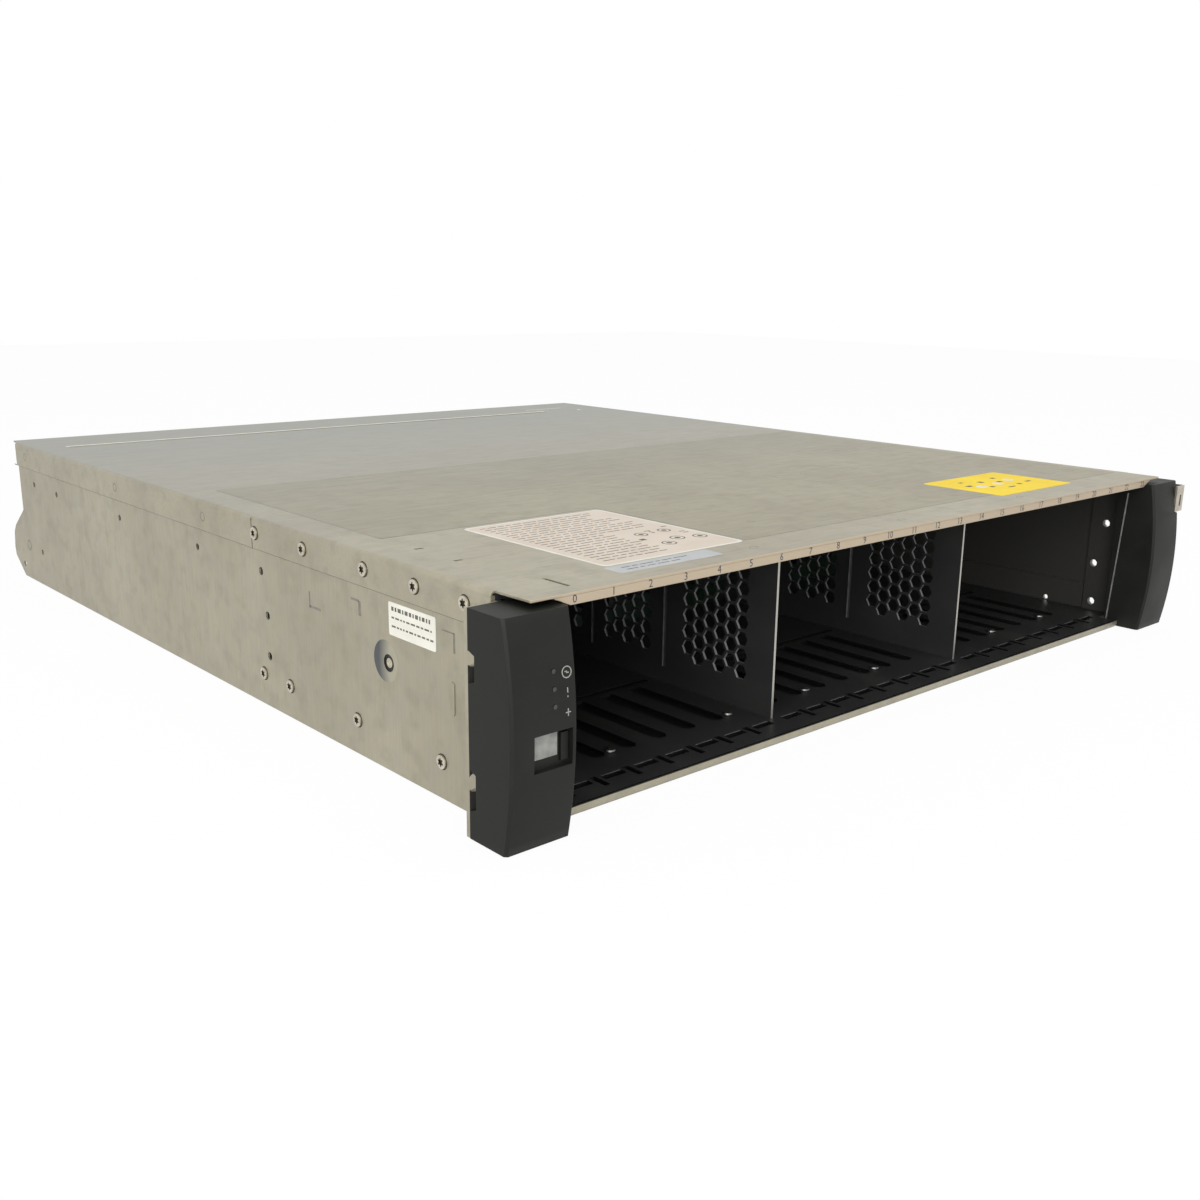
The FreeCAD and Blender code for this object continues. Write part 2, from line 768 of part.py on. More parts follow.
def left_end_cap():
    # Cap with the recess for the display window and its button, and three light-pipe holes.
    cap = end_cap_shell()
    floor = recess_floor_y()
    x0 = -cap_outer + recess_edge
    x1 = x0 + recess_width
    z0, z1 = recess_bottom, recess_bottom + recess_height
    boss = block((x0 - 1.5, x1 + 1.5), (floor - 1, floor + cap_wall), (z0 - 1.5, z1 + 1.5))
    pocket = block((x0, x1), (floor - 12, floor), (z0, z1))
    cap = fused([cap, boss]).cut(pocket)
    window = block((x0, x0 + window_width), (floor - 1, floor + cap_wall + 1),
                   (window_bottom, window_bottom + window_height))
    bx, bz = button_place()
    well = block((bx - button_width / 2 - moving_gap, bx + button_width / 2 + moving_gap),
                 (floor - 1, floor + cap_wall + 1),
                 (bz - button_height / 2 - moving_gap, bz + button_height / 2 + moving_gap))
    front = deep(-cap_bow_middle) - 5
    pipes = [slab("xz", front, deep(0) - front, punched(
        "xz", front, -cap_outer + pipe_offset, z, pipe_radius + pivot_play)) for z in pipe_heights]
    return cap.cut(group([window, well] + pipes))


def button_place():
    x0 = -cap_outer + recess_edge
    return x0 + recess_width - button_width / 2 - 0.6, recess_bottom + recess_height / 2


def display_window():
    # Smoked window seated in its opening in the recess.
    floor = recess_floor_y()
    x0 = -cap_outer + recess_edge
    return block((x0, x0 + window_width), (floor, floor + window_thickness),
                 (window_bottom, window_bottom + window_height))


def id_button():
    # Push button held by its flange behind the floor of the recess.
    floor = recess_floor_y()
    bx, bz = button_place()
    stem = block((bx - button_width / 2, bx + button_width / 2), (floor - 0.8, floor + cap_wall + moving_gap),
                 (bz - button_height / 2, bz + button_height / 2))
    flange = block((bx - button_width / 2, bx + button_width / 2),
                   (floor + cap_wall + moving_gap, floor + cap_wall + moving_gap + 1.2),
                   (bz - button_height / 2 - 1.4, bz + button_height / 2 + 1.4))
    return fused([stem, flange])


def light_pipes():
    pieces = []
    for z in pipe_heights:
        share = (z - cap_bottom) / (cap_top - cap_bottom)
        line = cap_bow_bottom + (cap_bow_top - cap_bow_bottom) * share
        belly = cap_bow_middle - (cap_bow_bottom + cap_bow_top) / 2
        front = deep(-(line + belly * (1 - (2 * share - 1) ** 2))) - 0.15
        pieces.append(slab("xz", front, deep(-1.5) - front, punched(
            "xz", front, -cap_outer + pipe_offset, z, pipe_radius)))
    return group(pieces)


def right_end_cap():
    # Mirror image of the plain cap, cut away at its upper outer corner for the steel tab.
    cap = mirrored(end_cap_shell())
    outer = rack_width / 2
    gap = 2 * moving_gap
    mouth = block((outer - tab_width - gap, outer + 5), (deep(-cap_bow_middle) - 3, ear_y),
                  (tab_bottom - gap, tab_top + gap))
    return cap.cut(mouth)


def indicator_board():
    # Small circuit board on two posts in front of the left ear, with three lamps.
    x0, x1 = -cap_outer + cap_wall + 6.5, -cap_inner - cap_wall - 1
    z0, z1 = recess_bottom - 4, max(pipe_heights) + 5
    y = deep(board_depth)
    rim = rectangle("xz", y, (x0, x1), (z0, z1))
    pieces = [slab("xz", y, board_thickness, rim)]
    for v in (z0 + 2.5, z1 - 2.5):
        pieces.append(post("xz", y + board_thickness, ear_y - y - board_thickness, x0 + 2.5, v, 1.5))
    for z in pipe_heights:
        u = -cap_outer + pipe_offset
        pieces.append(block((u - 1, u + 1), (y - 1.2, y), (z - 1, z + 1)))
    return fused(pieces)


def id_display():
    # Numeric display behind the window.
    x0 = -cap_outer + recess_edge
    return block((x0 + 0.6, x0 + window_width - 0.6), (deep(-7), deep(board_depth)),
                 (window_bottom + 0.2, window_bottom + window_height - 0.2))


def side_rivets():
    # Heads of the rivets that hold the pan flanges to the side walls.
    pieces = []
    for side in (-1, 1):
        for depth in flange_rivet_depths:
            pieces.append(post("yz", side * side_outer, side * rivet_head, deep(depth),
                               flange_rivet_height, rivet_radius))
    return group(pieces)


def cover_rivets():
    # Heads of the rivets that hold the skirts of the front cover.
    pieces = []
    for side in (-1, 1):
        for depth in skirt_rivet_depths:
            pieces.append(post("yz", side * half_width, side * rivet_head, deep(depth),
                               body_height - skirt_height / 2, rivet_radius))
    return group(pieces)


def psu_edges(name):
    low, high, bottom, top = module_places()[name]
    return low + module_play, high - module_play, bottom + module_play, top - module_play


def open_case(low, high, bottom, top):
    # Sheet case of a rear module, open at the back where its face closes it.
    start, end = module_start_y, module_face_y - face_sheet
    shell = block((low, high), (start, end), (bottom, top))
    inside = block((low + case_sheet, high - case_sheet), (start + case_sheet, end + 5),
                   (bottom + case_sheet, top - case_sheet))
    return shell.cut(inside)


def psu_layout(name):
    # Places of the fans, inlet, switch and lever on the face of a power module.
    low, high, bottom, top = psu_edges(name)
    height = top - bottom
    fan_x = low + case_sheet + fan_edge_gap + fan_size / 2
    fan_lift = (fan_size + fan_spacing) / 2
    fan_z = (bottom + height / 2 - fan_lift, bottom + height / 2 + fan_lift)
    inlet_x = fan_x + fan_size / 2 + inlet_gap + inlet_width / 2
    inlet_z = bottom + inlet_lift + inlet_height / 2
    return {"fan_x": fan_x, "fan_z": fan_z, "inlet": (inlet_x, inlet_z),
            "switch": (inlet_x - rocker_shift, inlet_z + inlet_height / 2 + rocker_lift + rocker_height / 2),
            "lever_x": high - lever_edge_gap - lever_width / 2, "lever_z": bottom + lever_lift}


def psu_case(name):
    return open_case(*psu_edges(name))


def hinge_cheek(plane, w, y, across):
    # Upright ear that holds one end of a lever pin; across is its middle on the other axis.
    shape = [(-0.5, -cheek_half), (cheek_reach - cheek_corner, -cheek_half),
             (cheek_reach, cheek_corner - cheek_half), (cheek_reach, cheek_half - cheek_corner),
             (cheek_reach - cheek_corner, cheek_half), (-0.5, cheek_half)]
    if plane == "yz":
        points = [(y + out, across + along) for out, along in shape]
    else:
        points = [(across + along, y + out) for out, along in shape]
    return slab(plane, w, cheek_sheet, outline(plane, w, points))


def psu_face(name):
    # Rear plate with guard slots over both fans and openings for inlet and switch.
    low, high, bottom, top = psu_edges(name)
    place = psu_layout(name)
    w = module_face_y - face_sheet
    holes = []
    for z in place["fan_z"]:
        for k in range(guard_count):
            shift = (k - (guard_count - 1) / 2) * guard_pitch
            half = math.sqrt(max(1, (fan_bore_radius - guard_margin) ** 2 - shift ** 2))
            holes.append(rectangle("xz", w, (place["fan_x"] - half, place["fan_x"] + half),
                                   (z + shift - guard_opening / 2, z + shift + guard_opening / 2)))
    (ix, iz), (sx, sz) = place["inlet"], place["switch"]
    holes.append(rectangle("xz", w, (ix - inlet_width / 2, ix + inlet_width / 2),
                           (iz - inlet_height / 2, iz + inlet_height / 2)))
    holes.append(rectangle("xz", w, (sx - rocker_width / 2 - moving_gap, sx + rocker_width / 2 + moving_gap),
                           (sz - rocker_height / 2 - moving_gap, sz + rocker_height / 2 + moving_gap)))
    plate = slab("xz", w, face_sheet, rectangle("xz", w, (low, high), (bottom, top)), holes)
    lever_x, lever_z = place["lever_x"], place["lever_z"]
    reach = lever_width / 2 + lever_gap
    cheeks = [hinge_cheek("yz", u, module_face_y, lever_z)
              for u in (lever_x - reach - cheek_sheet, lever_x + reach)]
    pin = post("yz", lever_x - reach - cheek_sheet, 2 * (reach + cheek_sheet),
               module_face_y + pivot_reach, lever_z, pivot_radius, 12)
    return fused([plate] + cheeks + [pin])


def psu_inlet(name):
    # Recessed mains inlet with three pins.
    ix, iz = psu_layout(name)["inlet"]
    w = module_face_y - inlet_depth
    shell = slab("xz", w, inlet_depth, rectangle(
        "xz", w, (ix - inlet_width / 2, ix + inlet_width / 2),
        (iz - inlet_height / 2, iz + inlet_height / 2)))
    pocket = slab("xz", w + 3, inlet_depth, outline("xz", w + 3, [
        (ix - 11.5, iz - 8), (ix + 11.5, iz - 8), (ix + 11.5, iz + 2), (ix + 6, iz + 8),
        (ix - 6, iz + 8), (ix - 11.5, iz + 2)]))
    pins = [block((ix + u - 1, ix + u + 1), (w + 2, w + 15), (iz + v - 2.5, iz + v + 2.5))
            for u, v in ((-7, -2), (0, 2), (7, -2))]
    return fused([shell.cut(pocket)] + pins)


def psu_rocker(name):
    # Rocker switch, rounded on top so that it tips inside its opening.
    sx, sz = psu_layout(name)["switch"]
    y = module_face_y
    half = rocker_height / 2 - 0.9
    foot = half - 3.6
    profile = outline("yz", sx - rocker_width / 2, [
        (y - 6, sz - foot), (y - 1, sz - half), (y + 2.2, sz - half), (y + 0.8, sz),
        (y + 2.2, sz + half), (y - 1, sz + half), (y - 6, sz + foot)])
    return slab("yz", sx - rocker_width / 2, rocker_width, profile)


def psu_lever(name):
    # Pull handle that swings down on a pin at its foot.
    low, high, bottom, top = psu_edges(name)
    place = psu_layout(name)
    x, z = place["lever_x"], place["lever_z"]
    y = module_face_y
    reach = top - bottom - 22
    w = x - lever_width / 2
    bore = punched("yz", w, y + pivot_reach, z, pivot_radius + pivot_play, 12)
    rim = outline("yz", w, lever_shape(y, z, 1, reach))
    return slab("yz", w, lever_width, rim, [bore])


def lever_shape(y, foot, way, reach):
    # Side view of a lever as (out, along) points; way is the sign of its direction along.
    out = [(1, -1.6), (3, -3.6), (6, -3.6), (8, -1.6), (8, 6), (1 + lever_sheet, 14),
           (1 + lever_sheet, reach - 8), (7, reach), (4.5, reach + 1), (1, reach - 6)]
    return [(y + o, foot + way * a) for o, a in out]


def psu_fan_frames(name):
    # Two square fan frames with spokes that carry the shaft bosses.
    place = psu_layout(name)
    x = place["fan_x"]
    end = module_face_y - face_sheet
    start = end - fan_depth
    frames = []
    for z in place["fan_z"]:
        rim = rectangle("xz", start, (x - fan_size / 2, x + fan_size / 2), (z - fan_size / 2, z + fan_size / 2))
        bore = punched("xz", start, x, z, fan_bore_radius, 16)
        pieces = [slab("xz", start, fan_depth, rim, [bore])]
        for k in range(3):
            spoke = block((x, x + fan_bore_radius + 0.8), (start, start + spoke_thickness),
                          (z - spoke_width / 2, z + spoke_width / 2))
            spoke.rotate(vec(x, 0, z), vec(0, 1, 0), 120 * k + 30)
            pieces.append(spoke)
        pieces.append(post("xz", start, boss_thickness, x, z, hub_radius, 12))
        w = start - 1
        shaft_hole = slab("xz", w, boss_thickness + 2, punched(
            "xz", w, x, z, fan_shaft_radius + fan_shaft_play, 12))
        frames.append(fused(pieces).cut(shaft_hole))
    return group(frames)


def fan_rotor(name, level):
    # Hub with a shaft and pitched blades, trimmed to the bore of the frame.
    place = psu_layout(name)
    x, z = place["fan_x"], place["fan_z"][level]
    start = module_face_y - face_sheet - fan_depth
    low, high = start + boss_thickness + moving_gap, start + fan_depth - 1.0
    hub = post("xz", low, high - low, x, z, hub_radius, 12)
    shaft = post("xz", start, low - start + 1, x, z, fan_shaft_radius, 12)
    tip = fan_bore_radius - fan_tip_gap
    depth = high - low - 1
    chord = depth / math.cos(math.radians(blade_pitch)) - 2 * blade_sheet
    middle = low + 0.5 + depth / 2
    barrel = post("xz", low, high - low, x, z, tip, 20)
    blades = []
    for k in range(blade_count):
        blade = block((x + hub_radius - 1, x + tip), (middle - chord / 2, middle + chord / 2),
                      (z - blade_sheet / 2, z + blade_sheet / 2))
        blade.rotate(vec(x, middle, z), vec(1, 0, 0), blade_pitch)
        blade.rotate(vec(x, 0, z), vec(0, 1, 0), 360 / blade_count * k)
        blades.append(blade.common(barrel))
    return fused([hub, shaft] + blades)


def io_edges(name):
    low, high, bottom, top = module_places()[name]
    return low + module_play, high - module_play, bottom + module_play, top - module_play


def io_ports(name):
    # Sockets of a controller module as (centre X, centre Z, width, height, depth).
    low, high, bottom, top = io_edges(name)
    z = (bottom + top) / 2
    clear = high - io_lever_inset - io_lever_reach
    x = -clear + port_edge_gap + port_size[0] / 2
    ports = [(x + k * port_pitch, z) + port_size for k in range(port_count)]
    x = ports[-1][0] + port_size[0] / 2 + socket_gap + socket_size[0] / 2
    while x + socket_size[0] / 2 + socket_edge_gap < clear:
        ports.append((x, z - 1) + socket_size)
        x += socket_pitch
    return ports


def io_case(name):
    return open_case(*io_edges(name))


def io_face(name):
    # Rear plate with port openings, vent slots and the pins of both levers.
    low, high, bottom, top = io_edges(name)
    w = module_face_y - face_sheet
    holes = []
    for x, z, width, height, depth in io_ports(name):
        holes.append(rectangle("xz", w, (x - width / 2, x + width / 2), (z - height / 2, z + height / 2)))
    vent_count = int(2 * (high - vent_margin) / vent_pitch + 0.001) + 1
    for k in range(vent_count):
        u = (k - (vent_count - 1) / 2) * vent_pitch
        holes.append(rectangle("xz", w, (u - vent_size[0] / 2, u + vent_size[0] / 2),
                               (top - vent_drop - vent_size[1], top - vent_drop)))
    pieces = [slab("xz", w, face_sheet, rectangle("xz", w, (low, high), (bottom, top)), holes)]
    z = (bottom + top) / 2
    reach = lever_width / 2 + lever_gap
    for side in (-1, 1):
        x = side * (high - io_lever_inset)
        pieces += [hinge_cheek("xy", level, module_face_y, x)
                   for level in (z - reach - cheek_sheet, z + reach)]
        pieces.append(post("xy", z - reach - cheek_sheet, 2 * (reach + cheek_sheet),
                           x, module_face_y + pivot_reach, pivot_radius, 12))
    return fused(pieces)


def io_port_shells(name):
    # Metal socket shells behind the openings of the face.
    shells = []
    for x, z, width, height, depth in io_ports(name):
        start = module_face_y - depth
        shell = block((x - width / 2, x + width / 2), (start, module_face_y), (z - height / 2, z + height / 2))
        pocket = block((x - width / 2 + 1, x + width / 2 - 1), (start + 2, module_face_y + 1),
                       (z - height / 2 + 1, z + height / 2 - 1))
        shells.append(shell.cut(pocket))
    return group(shells)


def io_lever(name, side):
    # Ejector lever that swings outwards on an upright pin.
    low, high, bottom, top = io_edges(name)
    z = (bottom + top) / 2
    x = high - io_lever_inset
    w = z - lever_width / 2
    bore = punched("xy", w, x, module_face_y + pivot_reach, pivot_radius + pivot_play, 12)
    shape = lever_shape(module_face_y, x, -1, io_lever_reach - 1)
    rim = outline("xy", w, [(along, out) for out, along in shape])
    lever = slab("xy", w, lever_width, rim, [bore])
    return lever if side > 0 else mirrored(lever)


def parts():
    # Every sub-part with its node name.
    named = {
        "left_side_plate": side_plate(-1),
        "right_side_plate": side_plate(1),
        "base_pan": base_pan(),
        "front_cover": front_cover(),
        "rear_cover": rear_cover(),
        "bay_floor": bay_floor(),
        "bay_ceiling": bay_ceiling(),
        "midplane_board": midplane_board(),
        "drive_connectors": drive_connectors(),
        "module_connectors": module_connectors(),
        "midplane_brackets": midplane_brackets(),
        "left_module_wall": module_wall(-1),
        "right_module_wall": module_wall(1),
        "module_shelf": module_shelf(),
        "left_rack_ear": rack_ear(-1),
        "right_rack_ear": rack_ear(1),
        "right_ear_tab": right_ear_tab(),
        "left_end_cap": left_end_cap(),
        "display_window": display_window(),
        "light_pipes": light_pipes(),
        "id_button": id_button(),
        "right_end_cap": right_end_cap(),
        "indicator_board": indicator_board(),
        "id_display": id_display(),
        "side_rivets": side_rivets(),
        "cover_rivets": cover_rivets(),
    }
    for side, x in zip(("left", "right"), divider_x):
        named[side + "_bay_divider"] = divider(x)
    for psu in ("left_psu", "right_psu"):
        named[psu + "_case"] = psu_case(psu)
        named[psu + "_face"] = psu_face(psu)
        named[psu + "_inlet"] = psu_inlet(psu)
        named[psu + "_rocker"] = psu_rocker(psu)
        named[psu + "_lever"] = psu_lever(psu)
        named[psu + "_fan_frames"] = psu_fan_frames(psu)
        named[psu + "_lower_rotor"] = fan_rotor(psu, 0)
        named[psu + "_upper_rotor"] = fan_rotor(psu, 1)
    for module in ("lower_module", "upper_module"):
        named[module + "_case"] = io_case(module)
        named[module + "_face"] = io_face(module)
        named[module + "_ports"] = io_port_shells(module)
        named[module + "_left_lever"] = io_lever(module, -1)
        named[module + "_right_lever"] = io_lever(module, 1)
    return named


os.makedirs(parts_folder, exist_ok=True)
for name, shape in parts().items():
    if not shape.isValid():
        raise RuntimeError(name + " is not a valid solid")
    shape.exportStep(os.path.join(parts_folder, name + ".step"))
    print(name, len(shape.Solids), round(shape.Volume / 1000, 2))
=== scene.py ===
import json
import math
import random

import bmesh
import bpy
from mathutils import Matrix, Vector


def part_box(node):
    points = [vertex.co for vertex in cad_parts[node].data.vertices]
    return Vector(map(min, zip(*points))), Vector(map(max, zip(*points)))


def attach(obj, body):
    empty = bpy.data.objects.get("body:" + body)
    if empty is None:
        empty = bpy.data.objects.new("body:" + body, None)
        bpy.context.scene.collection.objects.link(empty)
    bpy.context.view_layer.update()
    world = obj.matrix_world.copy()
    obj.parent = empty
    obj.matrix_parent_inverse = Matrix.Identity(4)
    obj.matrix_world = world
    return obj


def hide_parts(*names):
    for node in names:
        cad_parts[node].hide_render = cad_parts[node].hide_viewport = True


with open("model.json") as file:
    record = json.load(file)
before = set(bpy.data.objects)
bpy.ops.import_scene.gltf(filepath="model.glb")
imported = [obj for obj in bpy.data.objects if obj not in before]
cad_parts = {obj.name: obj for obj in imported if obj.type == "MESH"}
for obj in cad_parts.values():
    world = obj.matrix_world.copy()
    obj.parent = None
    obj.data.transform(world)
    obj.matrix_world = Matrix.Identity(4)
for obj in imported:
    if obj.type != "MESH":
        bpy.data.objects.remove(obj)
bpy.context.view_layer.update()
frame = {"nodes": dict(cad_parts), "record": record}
mm = 0.001


def nodeEdge(node, axis, high):
    # One coordinate of a CAD node's box, in metres.
    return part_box(node)[1 if high else 0][axis]


bodyFront = nodeEdge("base_pan", 1, False)
coverTop = nodeEdge("front_cover", 2, True)
skirtFace = nodeEdge("front_cover", 0, False)
sideFace = nodeEdge("left_side_plate", 0, False)
lipFace = nodeEdge("front_cover", 1, False)
floorTop = nodeEdge("bay_floor", 2, True)
print("frame loaded,", len(frame["nodes"]), "nodes")


def fromFront(distance):
    # Y of a place that many millimetres behind the front lip, in metres.
    return bodyFront + distance * mm


# Camera

camera = {
    "azimuth": 41.96, "elevation": 14.67, "roll": 0.80,
    "place": (-464.8, -314.6, 185.4),
    "lens": 37.52, "shiftX": -0.00464, "shiftY": 0.00686,
}


def addCamera():
    x, y, z = camera["place"]
    bpy.ops.object.camera_add(location=(x * mm, fromFront(y), z * mm))
    eye = bpy.context.object
    eye.name = "viewCamera"
    tilt = Matrix.Rotation(math.radians(90 - camera["elevation"]), 4, "X")
    turn = Matrix.Rotation(math.radians(-camera["azimuth"]), 4, "Z")
    roll = Matrix.Rotation(math.radians(camera["roll"]), 4, "Z")
    eye.matrix_world = Matrix.Translation(eye.location) @ turn @ tilt @ roll
    eye.data.lens = camera["lens"]
    eye.data.sensor_width = 36
    eye.data.shift_x = camera["shiftX"]
    eye.data.shift_y = camera["shiftY"]
    eye.data.clip_start = 0.01
    eye.data.clip_end = 50
    bpy.context.scene.camera = eye


addCamera()
bpy.context.scene.view_settings.view_transform = "Standard"
print("camera placed")


# Materials

def hexToLinear(code):
    # sRGB hex such as A9A593 to a linear RGBA tuple.
    values = [int(code[i:i + 2], 16) / 255 for i in (0, 2, 4)]
    return tuple(v / 12.92 if v <= 0.04045 else ((v + 0.055) / 1.055) ** 2.4 for v in values) + (1,)


def addNode(tree, kind, settings=None, links=None):
    # Adds a shader node, sets its properties and inputs, and links outputs into it.
    node = tree.nodes.new(kind)
    node.location = (200 * (len(tree.nodes) % 8), -220 * (len(tree.nodes) // 8))
    for key, value in (settings or {}).items():
        if isinstance(key, int) or key in node.inputs:
            node.inputs[key].default_value = value
        else:
            setattr(node, key, value)
    for key, source in (links or {}).items():
        tree.links.new(source, node.inputs[key])
    return node


def newMaterial(name):
    material = bpy.data.materials.new(name)
    material.use_nodes = True
    tree = material.node_tree
    tree.nodes.clear()
    place = addNode(tree, "ShaderNodeTexCoord").outputs["Object"]
    return material, tree, place


def patternAt(tree, place, size, stretch=(1, 1, 1), detail=4.0, kind="ShaderNodeTexNoise"):
    # Noise or cells whose features are size millimetres across, stretched along the axes.
    scale = tuple(1 / (size * mm * s) for s in stretch)
    mapped = addNode(tree, "ShaderNodeMapping", {"Scale": scale}, {"Vector": place})
    settings = {"Scale": 1.0}
    if kind == "ShaderNodeTexNoise":
        settings["Detail"] = detail
    return addNode(tree, kind, settings, {"Vector": mapped.outputs["Vector"]})


def layTone(tree, under, over, mask=1.0, span=None, share=1.0, blend="MIX"):
    # Lays a tone over a colour where the mask is strong: with a span given, from its low end
    # to its high end, up to the share. A colour is a hex code or another layer.
    if span:
        mask = addNode(tree, "ShaderNodeMapRange", {1: span[0], 2: span[1], 3: 0.0, 4: share},
                       {0: mask}).outputs[0]
    settings = {"data_type": "RGBA", "blend_type": blend}
    links = {}
    for key, value in ((0, mask), (6, under), (7, over)):
        if isinstance(value, bpy.types.NodeSocket):
            links[key] = value
        else:
            settings[key] = hexToLinear(value) if isinstance(value, str) else value
    return addNode(tree, "ShaderNodeMix", settings, links).outputs[2]


def regionMask(tree, place, axis, limit, above=True, mirrored=False):
    # 1 where the place on an axis, or its distance from the middle, is above or below a limit.
    value = addNode(tree, "ShaderNodeSeparateXYZ", None, {0: place}).outputs[axis]
    if mirrored:
        value = addNode(tree, "ShaderNodeMath", {"operation": "ABSOLUTE"}, {0: value}).outputs[0]
    test = {"operation": "GREATER_THAN" if above else "LESS_THAN", 1: limit}
    return addNode(tree, "ShaderNodeMath", test, {0: value}).outputs[0]


def joinMasks(tree, mask, *others):
    # Each other mask is (operation, mask): MULTIPLY keeps what both hold, MAXIMUM what either does.
    for operation, other in others:
        mask = addNode(tree, "ShaderNodeMath", {"operation": operation}, {0: mask, 1: other}).outputs[0]
    return mask


def finishMaterial(material, colour, settings, height, depth, rough=None):
    # Principled shader with a bump depth in millimetres. A rough pattern comes with its span and
    # the roughness at both ends of it.
    tree = material.node_tree
    shader = addNode(tree, "ShaderNodeBsdfPrincipled", settings, {"Base Color": colour})
    if rough:
        pattern, span, ends = rough
        rough = addNode(tree, "ShaderNodeMapRange", {1: span[0], 2: span[1], 3: ends[0], 4: ends[1]},
                        {0: pattern})
        tree.links.new(rough.outputs[0], shader.inputs["Roughness"])
    bump = addNode(tree, "ShaderNodeBump", {"Distance": depth * mm, "Strength": 1.0}, {"Height": height})
    tree.links.new(bump.outputs["Normal"], shader.inputs["Normal"])
    addNode(tree, "ShaderNodeOutputMaterial", None, {"Surface": shader.outputs[0]})
    return material


def coverFinish(material, mask, settings):
    # Puts a second finish over a material where the mask is 1.
    tree = material.node_tree
    out = [n for n in tree.nodes if n.type == "OUTPUT_MATERIAL"][0]
    under = out.inputs["Surface"].links[0].from_socket
    over = addNode(tree, "ShaderNodeBsdfPrincipled", settings).outputs[0]
    mixed = addNode(tree, "ShaderNodeMixShader", None, {0: mask, 1: under, 2: over})
    tree.links.new(mixed.outputs[0], out.inputs["Surface"])


zincSheet = {
    # The cool tone and its span paint shade and a cool reflection onto the rear of the top.
    "base": "A19A87", "paintedCoolShade": "96968F", "lip": "B9AA94",
    "metallic": 0.7, "roughSpan": (0.3, 0.7), "rough": (0.42, 0.54), "bump": 0.012,
    "coolShadeStart": 90.0, "coolShadeEnd": 420.0, "coolShadeShare": 0.9, "topDepth": 0.3, "lipDepth": 0.25,
    "stretch": {"streak": 16, "smudge": 1.6},
    # Laid over the base in this order: tone, size in millimetres, detail, span and share.
    "layers": {
        "blotch": ("ACA692", 70.0, 3.0, (0.35, 0.65), 1.0),
        "spangle": ("96968F", 7.0, 0.0, (0.0, 1.0), 0.22),
        "streak": ("A19A87", 1.1, 3.0, (0.42, 0.7), 0.14),
        "mottle": ("8F8A79", 9.0, 5.0, (0.48, 0.72), 0.5),
        "smudge": ("7F7968", 24.0, 3.0, (0.60, 0.80), 0.16),
        "fleck": ("676355", 3.6, 1.0, (0.83, 0.86), 0.7),
    },
}


def makeZincSheet(name, streakAxis, tone=None):
    # Hot-dip galvanised steel sheet, rolled: soft sheen, faint crystals, streaks along the rolling.
    # The top face is painted a little darker and bluer toward the rear, as painted shade and cool
    # reflection.
    z = zincSheet
    material, tree, place = newMaterial(name)
    colour = z["base"]
    for layer, (over, size, detail, span, share) in z["layers"].items():
        stretch = [1, 1, 1]
        if layer in z["stretch"]:
            stretch[streakAxis if layer == "streak" else 1] = z["stretch"][layer]
        if layer == "spangle":
            cells = patternAt(tree, place, size, stretch, kind="ShaderNodeTexVoronoi")
            value = addNode(tree, "ShaderNodeSeparateColor", None, {0: cells.outputs["Color"]})
            value = value.outputs[0]
        else:
            value = patternAt(tree, place, size, stretch, detail).outputs[0]
        if layer == "streak":
            streaks = value
        colour = layTone(tree, colour, over, value, span, share)
    depth = addNode(tree, "ShaderNodeSeparateXYZ", None, {0: place}).outputs[1]
    # Painted shade and cool reflection: the top face darkens and turns bluer toward the rear.
    coolShadeMask = addNode(tree, "ShaderNodeMapRange", {
        1: fromFront(z["coolShadeStart"]), 2: fromFront(z["coolShadeEnd"]), 3: 0.0, 4: z["coolShadeShare"]}, {0: depth})
    top = regionMask(tree, place, 2, coverTop - z["topDepth"] * mm)
    colour = layTone(tree, colour, z["paintedCoolShade"], joinMasks(tree, coolShadeMask.outputs[0], ("MULTIPLY", top)))
    if tone:
        colour = layTone(tree, colour, tone, blend="MULTIPLY")
    # Painted highlight: the front face of the lip is painted lighter and warmer than the sheet.
    lip = regionMask(tree, place, 1, lipFace + z["lipDepth"] * mm, False)
    colour = layTone(tree, colour, z["lip"], lip)
    return finishMaterial(material, colour, {"Metallic": z["metallic"]}, streaks, z["bump"],
                          (streaks, z["roughSpan"], z["rough"]))


blackPaint = {
    "colour": "2A2A2A", "worn": "383734", "deep": "0B0B0B", "shine": 0.5, "rough": (0.34, 0.49),
    "peel": 0.9, "bump": 0.02, "scuff": 24.0, "smear": 2.5, "scuffShare": 0.6,
    "scuffSpan": (0.5, 0.8), "roughSpan": (0.3, 0.8),
    "bare": "B5B2AA", "bareMetallic": 0.8, "bareRough": 0.4,
    # The cut edges of the cells lie between these distances from the middle.
    "cut": "6A6B6A", "cutRough": 0.35, "cutSpan": (68.68, 69.82),
}


def makeLinedSheet(name, streakAxis, lined, low=None, shadeAhead=None):
    # Galvanised outside and black painted on the bay side, up to the |X| of its inner face.
    # With a low height given, the underside below it and the cut front edge stay bare;
    # with a facing depth given, whatever lies ahead of it is painted black as well, as painted shade.
    material = makeZincSheet(name, streakAxis)
    tree = material.node_tree
    place = [n for n in tree.nodes if n.type == "TEX_COORD"][0].outputs["Object"]
    inside = regionMask(tree, place, 0, lined, False, True)
    if low is not None:
        above = regionMask(tree, place, 2, low)
        behind = regionMask(tree, place, 1, fromFront(paintReach["cutEdge"]))
        inside = joinMasks(tree, inside, ("MULTIPLY", above), ("MULTIPLY", behind))
    if shadeAhead is not None:
        inside = joinMasks(tree, inside, ("MAXIMUM", regionMask(tree, place, 1, shadeAhead, False)))
    coverFinish(material, inside, {
        "Base Color": hexToLinear(blackPaint["worn"]), "Roughness": blackPaint["rough"][0],
        "Specular IOR Level": blackPaint["shine"]})
    return material


